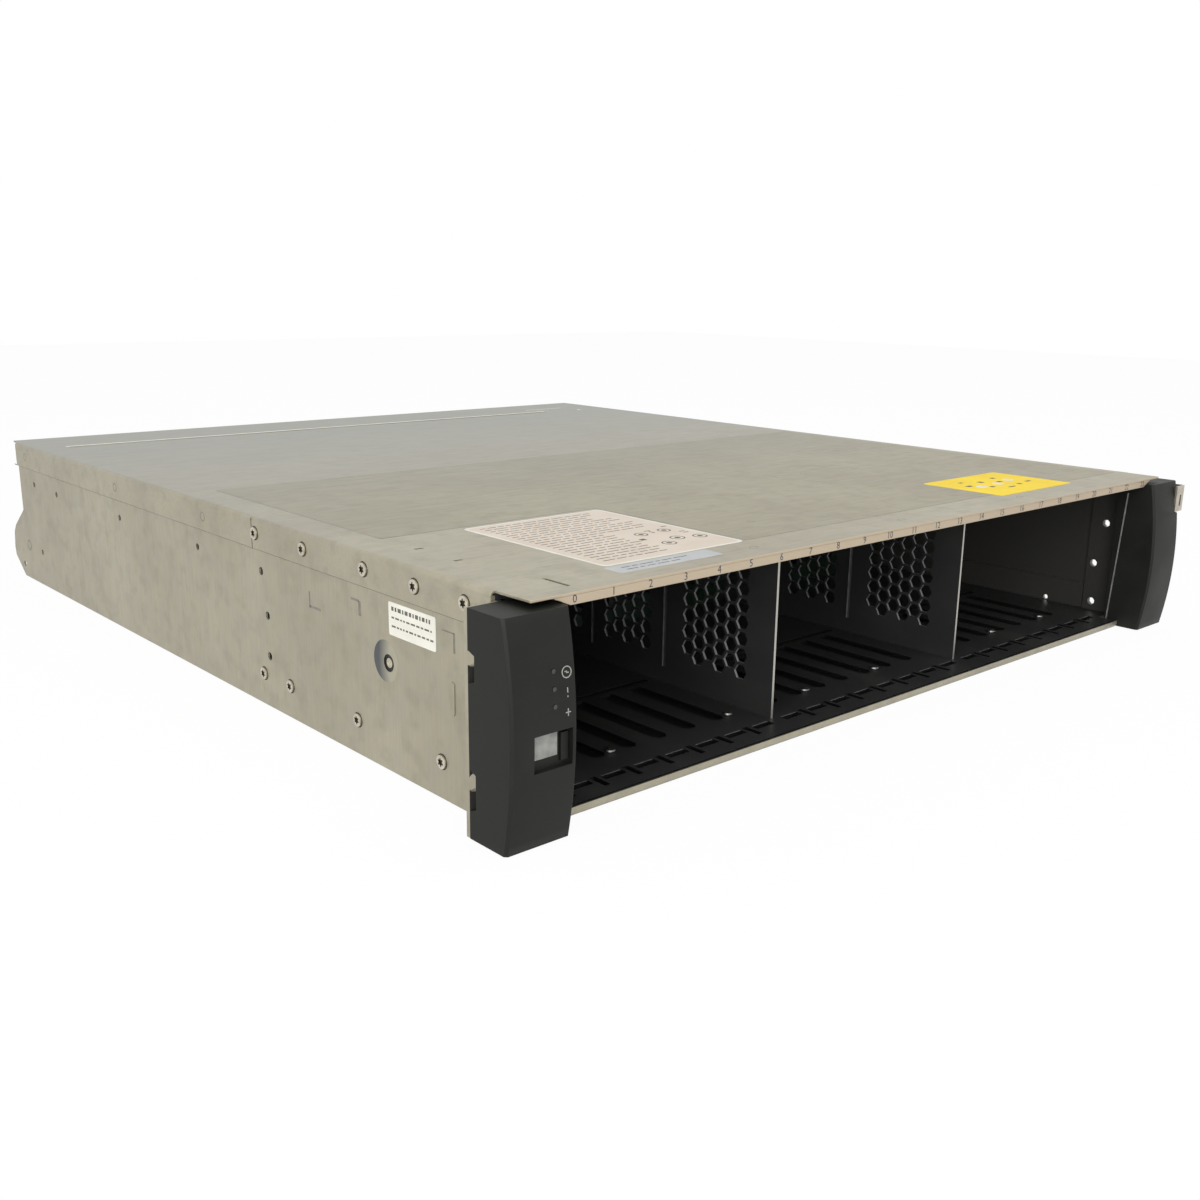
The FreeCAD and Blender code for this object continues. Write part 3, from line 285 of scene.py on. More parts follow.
def makeBlackPaint(name="satinBlackPowderPaint", edge=None, shadeBelow=None):
    # Powder coat on steel: satin black with a slight orange peel; bare metal shows on a cut front
    # edge. The cut edges of the cells are painted a lighter grey, for the thin coat there and as a
    # painted highlight where they catch the light. Below a given height the paint is darker, as painted
    # shade in the grooves and lower parts of the floor.
    b = blackPaint
    material, tree, place = newMaterial(name)
    peel = patternAt(tree, place, b["peel"], detail=2.0).outputs[0]
    scuffs = patternAt(tree, place, b["scuff"], (1, b["smear"], 1), 6.0).outputs[0]
    colour = layTone(tree, b["colour"], b["worn"], scuffs, b["scuffSpan"], b["scuffShare"])
    # Painted shade: below the given height the black is darker.
    if shadeBelow is not None:
        colour = layTone(tree, colour, b["deep"], regionMask(tree, place, 2, shadeBelow, False))
    finishMaterial(material, colour, {"Specular IOR Level": b["shine"]}, peel, b["bump"],
                   (scuffs, b["roughSpan"], b["rough"]))
    if edge is not None:
        # Painted highlight, with thin paint: the cut edges of the cells are painted a lighter grey where
        # they catch the light.
        near, far = (distance * mm for distance in b["cutSpan"])
        cut = joinMasks(tree, regionMask(tree, place, 0, near, True, True),
                        ("MULTIPLY", regionMask(tree, place, 0, far, False, True)))
        coverFinish(material, cut, {"Base Color": hexToLinear(b["cut"]), "Roughness": b["cutRough"]})
        coverFinish(material, regionMask(tree, place, 1, edge, False), {
            "Base Color": hexToLinear(b["bare"]), "Metallic": b["bareMetallic"],
            "Roughness": b["bareRough"]})
    return material


capPlastic = {
    "colour": "161713", "light": "1C1D19", "rubbed": 26.0, "grain": 0.45, "bump": 0.02,
    "rough": (0.46, 0.58), "shine": 0.22, "rubbedSpan": (0.4, 0.7), "roughSpan": (0.3, 0.7),
}


def makeCapPlastic(name="charcoalMouldedAbs"):
    # Moulded ABS with a fine spark-eroded grain: charcoal, dull sheen, slightly warm where it is rubbed.
    c = capPlastic
    material, tree, place = newMaterial(name)
    grain = patternAt(tree, place, c["grain"], detail=3.0).outputs[0]
    rubbed = patternAt(tree, place, c["rubbed"], detail=5.0).outputs[0]
    colour = layTone(tree, c["colour"], c["light"], rubbed, c["rubbedSpan"])
    return finishMaterial(material, colour, {"Specular IOR Level": c["shine"]}, grain, c["bump"],
                          (rubbed, c["roughSpan"], c["rough"]))


dishShade = {"lit": "A6A28F", "shaded": "4A4D50", "start": 76.0, "end": 84.0, "grain": 1.4,
             "metallic": 0.7, "rough": 0.4, "bump": 0.01}


def makeDishFinish(name):
    # Pressed zinc that falls into shade toward the rear of the dish.
    d = dishShade
    material, tree, place = newMaterial(name)
    depth = addNode(tree, "ShaderNodeSeparateXYZ", None, {0: place}).outputs[1]
    colour = layTone(tree, d["lit"], d["shaded"], depth, (fromFront(d["start"]), fromFront(d["end"])))
    grain = patternAt(tree, place, d["grain"], detail=3.0).outputs[0]
    return finishMaterial(material, colour, {"Metallic": d["metallic"], "Roughness": d["rough"]}, grain,
                          d["bump"])


plainPattern = {"span": (0.35, 0.65), "bump": 0.01}


def makePlainFinish(name, low, high, size, roughness, settings=None):
    # Two close tones in a soft pattern of the given size in millimetres, with a shallow bump.
    material, tree, place = newMaterial(name)
    tone = patternAt(tree, place, size).outputs[0]
    colour = layTone(tree, low, high, tone, plainPattern["span"])
    settings = {"Roughness": roughness, **(settings or {})}
    return finishMaterial(material, colour, settings, tone, plainPattern["bump"])


# In millimetres: how far the paint reaches past a face or stops short of it.
paintReach = {"side": 0.9, "ear": 1.05, "earFront": 0.1, "pan": 0.05, "panFoot": 0.6, "cutEdge": 0.3,
              "divider": 0.15, "floor": 0.05}

finishes = {
    "zincCover": makeZincSheet("galvanisedCoverSheet", 0),
    "zincSide": makeLinedSheet("galvanisedSideSheet", 2, abs(sideFace) - paintReach["side"] * mm),
    "zincPan": makeLinedSheet("galvanisedPanSheet", 1,
                              abs(nodeEdge("base_pan", 0, False)) - paintReach["pan"] * mm,
                              paintReach["panFoot"] * mm),
    # Painted shade: the ear's front face, inside the cap, is painted black.
    "zincEar": makeLinedSheet("galvanisedEarSheet", 2, abs(sideFace) - paintReach["ear"] * mm, None,
                              nodeEdge("left_rack_ear", 1, False) + paintReach["earFront"] * mm),
    # Thin clear film over the zinc: a shade greener and darker than the bare sheet.
    "film": makeZincSheet("filmedCoverSheet", 0, "EFEEE8"),
    # Dished stamp around the lock hole: pressed steel in shade, bluer toward its rear side.
    "dish": makeDishFinish("pressedDishSteel"),
    "black": makeBlackPaint(),
    "divider": makeBlackPaint("satinBlackDividerPaint",
                              nodeEdge("left_bay_divider", 1, False) + paintReach["divider"] * mm),
    "floor": makeBlackPaint("satinBlackFloorPaint", None, floorTop - paintReach["floor"] * mm),
    "cap": makeCapPlastic(),
    "module": makeZincSheet("galvanisedModuleSheet", 0),
}

# Each plain finish: its name, two tones, the size of its pattern, its roughness and what else it needs.
plainFinishes = {
    "filmEdge": ("filmCutEdge", "7C796C", "8C897B", 6.0, 0.4),
    # Semi-gloss coated paper labels, a little yellowed, with dull black thermal print.
    "labelCream": ("coatedPaperCream", "C7B9A8", "CFC2B2", 18.0, 0.42),
    "labelRim": ("coatedPaperWhite", "D2D0C4", "DCDACF", 14.0, 0.4),
    "labelYellow": ("coatedPaperYellow", "EBCB08", "F1D30E", 16.0, 0.5, {"Specular IOR Level": 0.2}),
    "labelPale": ("coatedPaperPaleBlue", "A3A6A8", "AFB1B1", 12.0, 0.4),
    "labelInk": ("thermalPrintGrey", "4F4B43", "625E55", 2.0, 0.6),
    "labelInkDark": ("thermalPrintBlack", "3A382F", "4A473B", 2.0, 0.6),
    "inkBlue": ("padPrintedSlateInk", "20262F", "2B313B", 1.5, 0.5),
    "iconPrint": ("padPrintedPaleGreyInk", "858682", "92938F", 1.5, 0.5),
    # Polished stainless dome of the floor rivets.
    "dome": ("polishedRivetDome", "6E6E6C", "82817E", 1.5, 0.42, {"Metallic": 1.0}),
    # Painted highlight: light grey with a short sheen, for lit crests and edges.
    "paintedEdgeHighlight": ("lightGreyEdgeHighlight", "8C8D8D", "A4A5A4", 4.0, 0.4, {"Metallic": 0.5}),
    # Green and amber light lenses, unlit.
    "lensGreen": ("clearGreenLens", "2E5B3A", "3B6F48", 1.0, 0.15, {"Coat Weight": 0.5}),
    "lensAmber": ("clearAmberLens", "8A5A1E", "9C6A28", 1.0, 0.15, {"Coat Weight": 0.5}),
    # Bare steel where a punch or a weld has pressed the zinc away: duller and darker.
    "scribe": ("pressedZincMark", "77746A", "8A867A", 3.0, 0.5, {"Metallic": 0.6}),
    # Painted shadow in the gaps between sheets.
    "seamShade": ("paintedGapShadow", "34322A", "454238", 5.0, 0.7),
    # Painted highlight: bright strips on and beside the rear cross-bead, where the sheet catches the
    # light.
    "paintedHighlight": ("paintedBeadHighlight", "E4E4DF", "F0F0EC", 12.0, 0.35, {"Metallic": 0.1}),
    # Painted shade: near-black for the screw sockets, the rings under screw heads, the lock hole and the
    # plates under the cover slots.
    "socket": ("paintedSocketShade", "16150F", "24221B", 1.0, 0.6),
    # Cold-rolled steel with a plain zinc plate: brighter and smoother than the body sheet.
    "tab": ("zincPlatedSteel", "A8A294", "BDB7A8", 5.0, 0.38, {"Metallic": 0.8}),
    "rivet": ("zincPlatedScrew", "B4AD9A", "CBC4B2", 2.5, 0.35, {"Metallic": 0.8}),
    # Epoxy glass board under dark green solder mask: smooth and slightly glossy.
    "board": ("solderMaskedBoard", "0E1E15", "16291D", 3.0, 0.35),
    "connector": ("glassFilledNylon", "121212", "1D1D1C", 1.2, 0.55),
    # Polycarbonate window, smoked and lightly frosted by its back paint.
    "window": ("smokedPolycarbonate", "6E6F6A", "8A8B85", 4.0, 0.3, {"Coat Weight": 0.3}),
    "pipe": ("clearAcrylicPipe", "1A1A1A", "262626", 1.0, 0.15, {"Coat Weight": 0.5}),
    "display": ("displayBlack", "0D0D0D", "151515", 2.0, 0.2),
    "fan": ("blackFanPlastic", "141414", "1F1F1F", 0.8, 0.45),
    "lever": ("darkGreyNylonLever", "2C2C2E", "373739", 0.8, 0.5),
    "port": ("nickelPlatedShell", "A9A59C", "C4C0B6", 2.0, 0.28, {"Metallic": 0.9}),
    "rocker": ("glossBlackRocker", "0E0E0E", "171717", 1.5, 0.2),
}
finishes.update((key, makePlainFinish(*row)) for key, row in plainFinishes.items())

slotFinishes = {
    "black_paint": "black", "ear_steel": "black", "tab_steel": "tab", "charcoal_plastic": "cap",
    "smoked_window": "window", "light_pipe": "pipe", "circuit_board": "board",
    "connector_plastic": "connector", "display_plastic": "display", "rivet_steel": "rivet",
    "module_steel": "module", "fan_plastic": "fan", "lever_plastic": "lever", "port_metal": "port",
    "rocker_plastic": "rocker", "galvanised_steel": "zincCover",
}
nodeFinishes = {
    "left_rack_ear": "zincEar", "right_rack_ear": "zincEar",
    "left_side_plate": "zincSide", "right_side_plate": "zincSide", "base_pan": "zincPan",
    "bay_floor": "floor", "left_bay_divider": "divider", "right_bay_divider": "divider",
}


def paintNodes():
    # Every carried-over CAD node gets the finish of its slot, or its own.
    slots = {s["node"]: s["material_slot"] for s in frame["record"]["subparts"]}
    for name, node in frame["nodes"].items():
        finish = nodeFinishes.get(name) or slotFinishes[slots[name]]
        node.data.materials.clear()
        node.data.materials.append(finishes[finish])


paintNodes()
print("materials made,", len(finishes))


# Modelling helpers

def freshPiece():
    if bpy.context.object and bpy.context.object.mode != "OBJECT":
        bpy.ops.object.mode_set(mode="OBJECT")
    bpy.ops.object.select_all(action="DESELECT")


def choose(piece):
    freshPiece()
    piece.select_set(True)
    bpy.context.view_layer.objects.active = piece


def editPiece(piece):
    choose(piece)
    bpy.ops.object.mode_set(mode="EDIT")
    bpy.ops.mesh.select_all(action="SELECT")


def leaveEdit():
    bpy.ops.mesh.select_all(action="SELECT")
    bpy.ops.mesh.normals_make_consistent(inside=False)
    bpy.ops.object.mode_set(mode="OBJECT")


def pull(x, y, z):
    # Extrudes what is selected and moves it, in metres.
    bpy.ops.mesh.extrude_region_move(TRANSFORM_OT_translate={"value": (x, y, z)})


def pick(piece, kind, test):
    # Selects the verts or faces of a piece in edit mode whose centre passes the test.
    bpy.ops.mesh.select_mode(type="VERT" if kind == "verts" else "FACE")
    bpy.ops.mesh.select_all(action="DESELECT")
    mesh = bmesh.from_edit_mesh(piece.data)
    for item in getattr(mesh, kind):
        centre = item.co if kind == "verts" else item.calc_center_median()
        item.select_set(bool(test(centre)))
    mesh.select_flush_mode()
    bmesh.update_edit_mesh(piece.data)


def settle(piece, place=None, spin=None):
    # Puts a finished piece at its place and leaves its object at the origin.
    choose(piece)
    if spin:
        piece.rotation_euler = spin
    if place:
        piece.location = place
    bpy.ops.object.transform_apply(location=True, rotation=True, scale=True)
    return piece


def copyPiece(piece, name, place, spin=None):
    twin = piece.copy()
    twin.data = piece.data.copy()
    twin.name = name
    bpy.context.scene.collection.objects.link(twin)
    return settle(twin, place, spin)


def joinPieces(pieces, name):
    freshPiece()
    for piece in pieces:
        piece.select_set(True)
    bpy.context.view_layer.objects.active = pieces[0]
    if len(pieces) > 1:
        bpy.ops.object.join()
    pieces[0].name = name
    return pieces[0]


def dress(piece, finish, body="chassis"):
    piece.data.materials.clear()
    piece.data.materials.append(finishes[finish])
    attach(piece, body)
    return piece


def smooth(piece, degrees=35):
    choose(piece)
    bpy.ops.object.shade_smooth_by_angle(angle=math.radians(degrees))


def shapeTop(piece, height, inset, rise, pocket=False):
    # Insets the top of a flat piece and lifts it, or sinks a pocket into it, in millimetres.
    editPiece(piece)
    pick(piece, "faces", lambda c: c.z > (height - 0.01) * mm)
    bpy.ops.mesh.inset(thickness=inset * mm)
    if pocket:
        pull(0, 0, rise * mm)
    else:
        bpy.ops.transform.translate(value=(0, 0, rise * mm))
    leaveEdit()


def sheetPiece(name, width, length, height, corner=0.0, segments=3):
    # Thin plate on its back at the origin, with rounded corners; sizes in millimetres.
    freshPiece()
    bpy.ops.mesh.primitive_plane_add(size=1)
    piece = bpy.context.object
    piece.name = name
    editPiece(piece)
    bpy.ops.transform.resize(value=(width * mm, length * mm, 1))
    if corner:
        bpy.ops.mesh.bevel(offset=corner * mm, segments=segments, affect="VERTICES")
    bpy.ops.mesh.select_all(action="SELECT")
    pull(0, 0, height * mm)
    leaveEdit()
    return piece


def barPieces(name, rows, height=0.02):
    # One mesh of small flat bars given as (x, y, width, length) in millimetres.
    bars = []
    for x, y, width, length in rows:
        bar = sheetPiece(name, width, length, height)
        bars.append(settle(bar, (x * mm, y * mm, 0)))
    return joinPieces(bars, name)


def discPiece(name, radius, height, inner=0.0, sides=20):
    freshPiece()
    bpy.ops.mesh.primitive_circle_add(vertices=sides, radius=radius * mm, fill_type="NGON")
    piece = bpy.context.object
    piece.name = name
    editPiece(piece)
    if inner:
        bpy.ops.mesh.inset(thickness=(radius - inner) * mm)
        bpy.ops.mesh.delete(type="FACE")
        bpy.ops.mesh.select_all(action="SELECT")
    pull(0, 0, height * mm)
    leaveEdit()
    return piece


# Labels and print on the top cover

coverLabel = {
    "centre": (-131.3, 59.6), "size": (75.5, 89.5), "corner": 3.0, "rim": 1.4, "lift": 0.10,
    "rows": 22, "rowPitch": 3.65, "rowHeight": 0.75, "margin": 5.5,
    "clear": (-128.0, -93.0, 22.0, 62.0),
    "rings": ((-120.5, 31.0, 3.2), (-110.5, 36.5, 3.3), (-100.5, 33.5, 3.2), (-118.0, 50.0, 3.0),
              (-104.0, 51.0, 3.0)),
    "bars": ((-111.0, 54.0, 3.4, 0.8), (-111.0, 51.0, 0.8, 3.6), (-99.5, 45.0, 2.8, 0.7),
             (-99.5, 42.6, 2.8, 0.7), (-124.5, 42.0, 2.6, 2.6), (-98.5, 57.0, 3.0, 0.8)),
}
warmLabel = {
    "centre": (125.2, 34.5), "size": (68.5, 47.0), "corner": 2.5, "lift": 0.10,
    "marks": ((104, 38, 4.5, 2.6), (113, 30, 3.2, 2.4), (121, 42, 3.4, 3.2), (131, 37, 4.2, 2.2),
              (139, 46, 3.2, 2.4), (146, 29, 4.6, 1.8), (122, 24, 6.0, 1.6), (134, 27, 3.0, 2.2),
              (110, 47, 3.0, 1.8)),
    "spots": ((108, 33), (125, 34), (141, 38)), "spot": 3.2,
}
paleStrip = {"centre": (-145.0, 8.4), "size": (53.0, 10.5), "corner": 1.0, "lift": 0.08,
             "lines": {"size": (46, 8), "margin": 2.4, "rows": 2, "pitch": 3.2, "height": 0.7,
                       "seed": 9}}
coverFilm = {"left": -205.5, "right": 215.5, "rear": 256.0, "middle": 108.0, "front": 16.5,
             "notch": -92.0, "lift": 0.05, "edge": 0.5}


def onCover(x, y, lift=0.0):
    return (x * mm, fromFront(y), coverTop + lift * mm)


def ruledWords(centre, size, margin, rows, pitch, height, seed, gaps=()):
    # Broken lines of short bars that stand for lines of small print.
    dice = random.Random(seed)
    bars = []
    for row in range(rows):
        y = centre[1] + size[1] / 2 - margin - row * pitch
        x = centre[0] - size[0] / 2 + margin
        end = centre[0] + size[0] / 2 - margin - dice.uniform(0, 14)
        while x < end:
            word = dice.uniform(2.2, 7.5)
            inGap = any(a < x + word / 2 < b and c < y < d for a, b, c, d in gaps)
            if x + word < end and not inGap:
                bars.append((x + word / 2, y, word, height))
            x += word + 1.1
    return bars


def addCoverFilm():
    # Clear protective film in an L shape, with a fine raised edge.
    freshPiece()
    bpy.ops.mesh.primitive_plane_add(size=1)
    film = bpy.context.object
    film.name = "coverFilm"
    editPiece(film)
    width = coverFilm["right"] - coverFilm["left"]
    length = coverFilm["rear"] - coverFilm["middle"]
    bpy.ops.transform.resize(value=(width * mm, length * mm, 1))
    bpy.ops.transform.translate(value=((coverFilm["left"] + width / 2) * mm,
                                       fromFront(coverFilm["middle"] + length / 2), coverTop))
    bpy.ops.mesh.select_all(action="SELECT")
    bpy.ops.mesh.bisect(plane_co=(coverFilm["notch"] * mm, 0, coverTop), plane_no=(1, 0, 0))
    pick(film, "verts", lambda c: c.x > coverFilm["notch"] * mm - 1e-6
         and c.y < fromFront(coverFilm["middle"]) + 1e-6)
    pull(0, (coverFilm["front"] - coverFilm["middle"]) * mm, 0)
    bpy.ops.mesh.select_all(action="SELECT")
    pull(0, 0, coverFilm["lift"] * mm)
    leaveEdit()
    dress(film, "film")


def addCoverFilmEdge():
    # The cut edge of the film, which catches dirt and reads as a thin line.
    f = coverFilm
    rows = [((f["left"] + f["right"]) / 2, f["rear"], f["right"] - f["left"], f["edge"]),
            (f["left"], (f["rear"] + f["middle"]) / 2, f["edge"], f["rear"] - f["middle"]),
            ((f["left"] + f["notch"]) / 2, f["middle"], f["notch"] - f["left"], f["edge"]),
            (f["notch"], (f["middle"] + f["front"]) / 2, f["edge"], f["middle"] - f["front"]),
            ((f["notch"] + f["right"]) / 2, f["front"], f["right"] - f["notch"], f["edge"])]
    edge = barPieces("coverFilmEdge", rows, 0.03)
    settle(edge, onCover(0, 0, f["lift"] - 0.01))
    dress(edge, "filmEdge")


def addLabels():
    # Cream, yellow and pale labels with ruled lines and plain marks in place of print.
    c = coverLabel
    rim = sheetPiece("coverLabelRim", *c["size"], c["lift"], c["corner"])
    settle(rim, onCover(*c["centre"]))
    dress(rim, "labelRim")
    field = sheetPiece("coverLabelField", *(side - 2 * c["rim"] for side in c["size"]), 0.02,
                       c["corner"] - c["rim"] / 2)
    settle(field, onCover(*c["centre"], c["lift"]))
    dress(field, "labelCream")
    words = barPieces("coverLabelLines", ruledWords(c["centre"], c["size"], c["margin"], c["rows"],
                                                   c["rowPitch"], c["rowHeight"], 4, [c["clear"]]))
    settle(words, onCover(0, 0, c["lift"] + 0.015))
    dress(words, "labelInk")
    marks = []
    for x, y, radius in c["rings"]:
        marks.append(settle(discPiece("mark", radius, 0.02, radius - 0.6), (x * mm, y * mm, 0)))
        marks.append(settle(discPiece("mark", radius * 0.4, 0.02, 0, 8), (x * mm, y * mm, 0)))
    marks.append(barPieces("mark", c["bars"]))
    marks = settle(joinPieces(marks, "coverLabelMarks"), onCover(0, 0, c["lift"] + 0.015))
    dress(marks, "labelInkDark")

    w = warmLabel
    yellow = sheetPiece("warmLabel", *w["size"], w["lift"], w["corner"])
    settle(yellow, onCover(*w["centre"]))
    dress(yellow, "labelYellow")
    dark = barPieces("warmLabelMarks", w["marks"])
    settle(dark, onCover(0, 0, w["lift"]))
    dress(dark, "labelInkDark")
    pale = joinPieces([settle(discPiece("pale", w["spot"], 0.02), (x * mm, y * mm, 0))
                       for x, y in w["spots"]], "warmLabelPaleMarks")
    settle(pale, onCover(0, 0, w["lift"] - 0.005))
    dress(pale, "labelRim")

    p = paleStrip
    strip = sheetPiece("paleStrip", *p["size"], p["lift"], p["corner"])
    settle(strip, onCover(*p["centre"]))
    dress(strip, "labelPale")
    lines = barPieces("paleStripLines", ruledWords(p["centre"], **p["lines"]))
    settle(lines, onCover(0, 0, p["lift"]))
    dress(lines, "labelInk")


# Slot numbers and icons

slotNumbers = {"count": 24, "height": 2.9, "digitShare": 0.7, "pitch": 17.57, "depth": 0.03, "z": 82.55}


def printedText(words, height, name):
    # Text turned into a thin mesh, centred at the origin and lying on its back.
    freshPiece()
    bpy.ops.object.text_add()
    piece = bpy.context.object
    piece.data.body = words
    piece.data.size = height / slotNumbers["digitShare"] * mm
    piece.data.align_x = "CENTER"
    piece.data.align_y = "CENTER"
    piece.data.extrude = slotNumbers["depth"] / 2 * mm
    piece.data.resolution_u = 2
    bpy.ops.object.convert(target="MESH")
    piece = bpy.context.object
    piece.name = name
    return piece


def addSlotNumbers():
    digits = []
    for number in range(slotNumbers["count"]):
        digit = printedText(str(number), slotNumbers["height"], "digit")
        x = (number - (slotNumbers["count"] - 1) / 2) * slotNumbers["pitch"] * mm
        digits.append(settle(digit, (x, lipFace, slotNumbers["z"] * mm), (math.radians(90), 0, 0)))
    dress(joinPieces(digits, "slotNumbers"), "inkBlue")


capBow = {"top": 10.7, "middle": 15.4, "bottom": 11.6}


def capFront(z):
    # Y of the front of an end cap at a height in millimetres.
    low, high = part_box("left_end_cap")[0].z / mm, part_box("left_end_cap")[1].z / mm
    share = (z - low) / (high - low)
    line = capBow["bottom"] + (capBow["top"] - capBow["bottom"]) * share
    belly = capBow["middle"] - (capBow["bottom"] + capBow["top"]) / 2
    return fromFront(-(line + belly * (1 - (2 * share - 1) ** 2)))


capIcons = {"x": -211.6, "ringZ": 60.8, "dashZ": 54.1, "plusZ": 47.1, "ring": 2.1, "line": 0.36,
            "thick": 0.16}


def addCapIcons():
    line = capIcons["line"]
    thick = capIcons["thick"]
    ring = discPiece("icon", capIcons["ring"], thick, capIcons["ring"] - line)
    wave = barPieces("icon", [(-0.45, 0.25, 0.9, line), (0.45, -0.25, 0.9, line), (0, 0, line, 0.8)],
                     thick)
    dash = barPieces("icon", [(0, 0.6, line, 1.8), (0, -1.5, line, 0.6)], thick)
    plus = barPieces("icon", [(0, 0, line, 2.6), (0, 0, 2.2, line)], thick)
    placed = []
    for piece, z in ((ring, "ringZ"), (wave, "ringZ"), (dash, "dashZ"), (plus, "plusZ")):
        height = capIcons[z]
        slope = math.atan((capFront(height + 1) - capFront(height - 1)) / (2 * mm))
        placed.append(settle(piece, (capIcons["x"] * mm, capFront(height) + 0.03 * mm, height * mm),
                             (math.radians(90) - slope, 0, 0)))
    dress(joinPieces(placed, "capIcons"), "iconPrint", "left_cap")


# Screws and rivets

torxScrew = {"radius": 2.7, "height": 0.75, "edge": 0.35, "dome": 0.12, "socket": 1.75, "waist": 0.66,
             "sink": 0.62, "sides": 24, "headShadow": 3.15, "headShadowHeight": 0.08}


def torxHead(name):
    # Low round head with a six-lobed socket, lying on its back at the origin.
    t = torxScrew
    freshPiece()
    top = t["height"] * mm
    bpy.ops.mesh.primitive_cylinder_add(vertices=t["sides"], radius=t["radius"] * mm, depth=top,
                                        location=(0, 0, top / 2))
    piece = bpy.context.object
    piece.name = name
    bpy.ops.object.transform_apply(location=True)
    editPiece(piece)
    pick(piece, "faces", lambda c: c.z > top - 1e-6)
    bpy.ops.mesh.inset(thickness=t["edge"] * mm)
    bpy.ops.transform.translate(value=(0, 0, t["dome"] * mm))
    bpy.ops.mesh.inset(thickness=(t["radius"] - t["edge"] - t["socket"]) * mm)
    pull(0, 0, -t["sink"] * mm)
    step = 2 * math.pi / t["sides"]
    pick(piece, "verts", lambda c: c.xy.length < (t["socket"] + 0.1) * mm
         and round(math.atan2(c.y, c.x) / step) % 4 in (0, 1))
    bpy.ops.transform.resize(value=(t["waist"], t["waist"], 1), center_override=(0, 0, 0))
    leaveEdit()
    piece.data.materials.append(finishes["rivet"])
    piece.data.materials.append(finishes["socket"])
    # The socket faces are painted near-black, as painted shade inside the socket.
    for face in piece.data.polygons:
        if face.center.z < top and face.center.xy.length < t["socket"] * mm:
            face.material_index = 1
    # A near-black ring under the head: painted shadow of the head.
    headShadow = discPiece("headShadow", t["headShadow"], t["headShadowHeight"], 0, 18)
    headShadow.data.materials.append(finishes["socket"])
    return joinPieces([piece, headShadow], name)


screwPlaces = {
    "skirtDepths": (26.0, 57.0, 92.0, 139.0, 181.0), "skirtHeight": 78.0,
    "flangeDepths": (43.0, 101.6, 157.0, 181.0), "flangeHeight": 14.5,
}


def addScrews():
    head = torxHead("screwHead")
    left = (math.radians(90), 0, math.radians(-90))
    right = (math.radians(90), 0, math.radians(90))
    for node, depths, height in (("cover_rivets", "skirtDepths", "skirtHeight"),
                                 ("side_rivets", "flangeDepths", "flangeHeight")):
        face = skirtFace if node == "cover_rivets" else sideFace
        placed = []
        for side, spin in ((1, left), (-1, right)):
            for depth in screwPlaces[depths]:
                place = (side * face, fromFront(depth), screwPlaces[height] * mm)
                placed.append(copyPiece(head, "screw", place, spin))
        piece = joinPieces(placed, node.replace("_rivets", "Screws"))
        smooth(piece)
        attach(piece, "chassis")
        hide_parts(node)
    bpy.data.objects.remove(head)


floorRivets = {"places": ((-149, 33), (-80, 33), (-28, 33), (25, 33), (80, 33), (130, 33), (180, 33)),
               "radius": 2.5, "height": 1.7, "crown": 0.8, "flat": 0.5, "sink": 0.02}


def addFloorRivets():
    f = floorRivets
    freshPiece()
    bpy.ops.mesh.primitive_uv_sphere_add(segments=16, ring_count=8, radius=f["radius"] * mm)
    dome = bpy.context.object
    editPiece(dome)
    bpy.ops.mesh.bisect(plane_co=(0, 0, 0), plane_no=(0, 0, -1), clear_outer=True, use_fill=True)
    bpy.ops.mesh.select_all(action="SELECT")
    bpy.ops.transform.resize(value=(1, 1, f["height"] / f["radius"]))
    pick(dome, "verts", lambda c: c.z > f["crown"] * f["height"] * mm)
    bpy.ops.transform.translate(value=(0, 0, -f["flat"] * mm))
    leaveEdit()
    domes = [copyPiece(dome, "dome", (x * mm, fromFront(y), floorTop - f["sink"] * mm))
             for x, y in f["places"]]
    bpy.data.objects.remove(dome)
    domes = joinPieces(domes, "floorRivets")
    smooth(domes, 60)
    dress(domes, "dome", "chassis")


# Painted highlights on edges inside the bays

bayHighlights = {"beadDepths": (83.6, 134.0), "beadFoot": 11.3, "beadTop": 73.7, "beadLine": 0.8,
           "catchRear": 15.6, "catchLine": 0.45, "catchWidth": 9.6, "slotPitch": 17.1, "gap": 1.7,
           "firstEdge": -206.9}


def addBayWear():
    # Painted highlights: light grey strips on the bead crests and behind the drive catches, where they
    # catch the light.
    w = bayHighlights
    strips = []
    for node in ("left_bay_divider", "right_bay_divider"):
        for high in (False, True):
            face = nodeEdge(node, 0, high) + (0.02 if high else -0.02) * mm
            for depth in w["beadDepths"]:
                strip = sheetPiece("strip", w["beadLine"], w["beadTop"] - w["beadFoot"], 0.04)
                spin = (math.radians(90), 0, math.radians(90 if high else -90))
                place = (face, fromFront(depth), (w["beadFoot"] + w["beadTop"]) / 2 * mm)
                strips.append(settle(strip, place, spin))
    dress(joinPieces(strips, "beadHighlights"), "paintedEdgeHighlight", "chassis")
    rows = []
    for number in range(slotNumbers["count"]):
        x = w["firstEdge"] + (number + 0.5) * w["slotPitch"] + number // 8 * w["gap"]
        rows.append((x, 0, w["catchWidth"], w["catchLine"]))
    edges = settle(barPieces("catchHighlights", rows, 0.05), (0, fromFront(w["catchRear"]), floorTop))
    dress(edges, "paintedEdgeHighlight", "chassis")


# Marks on the left side

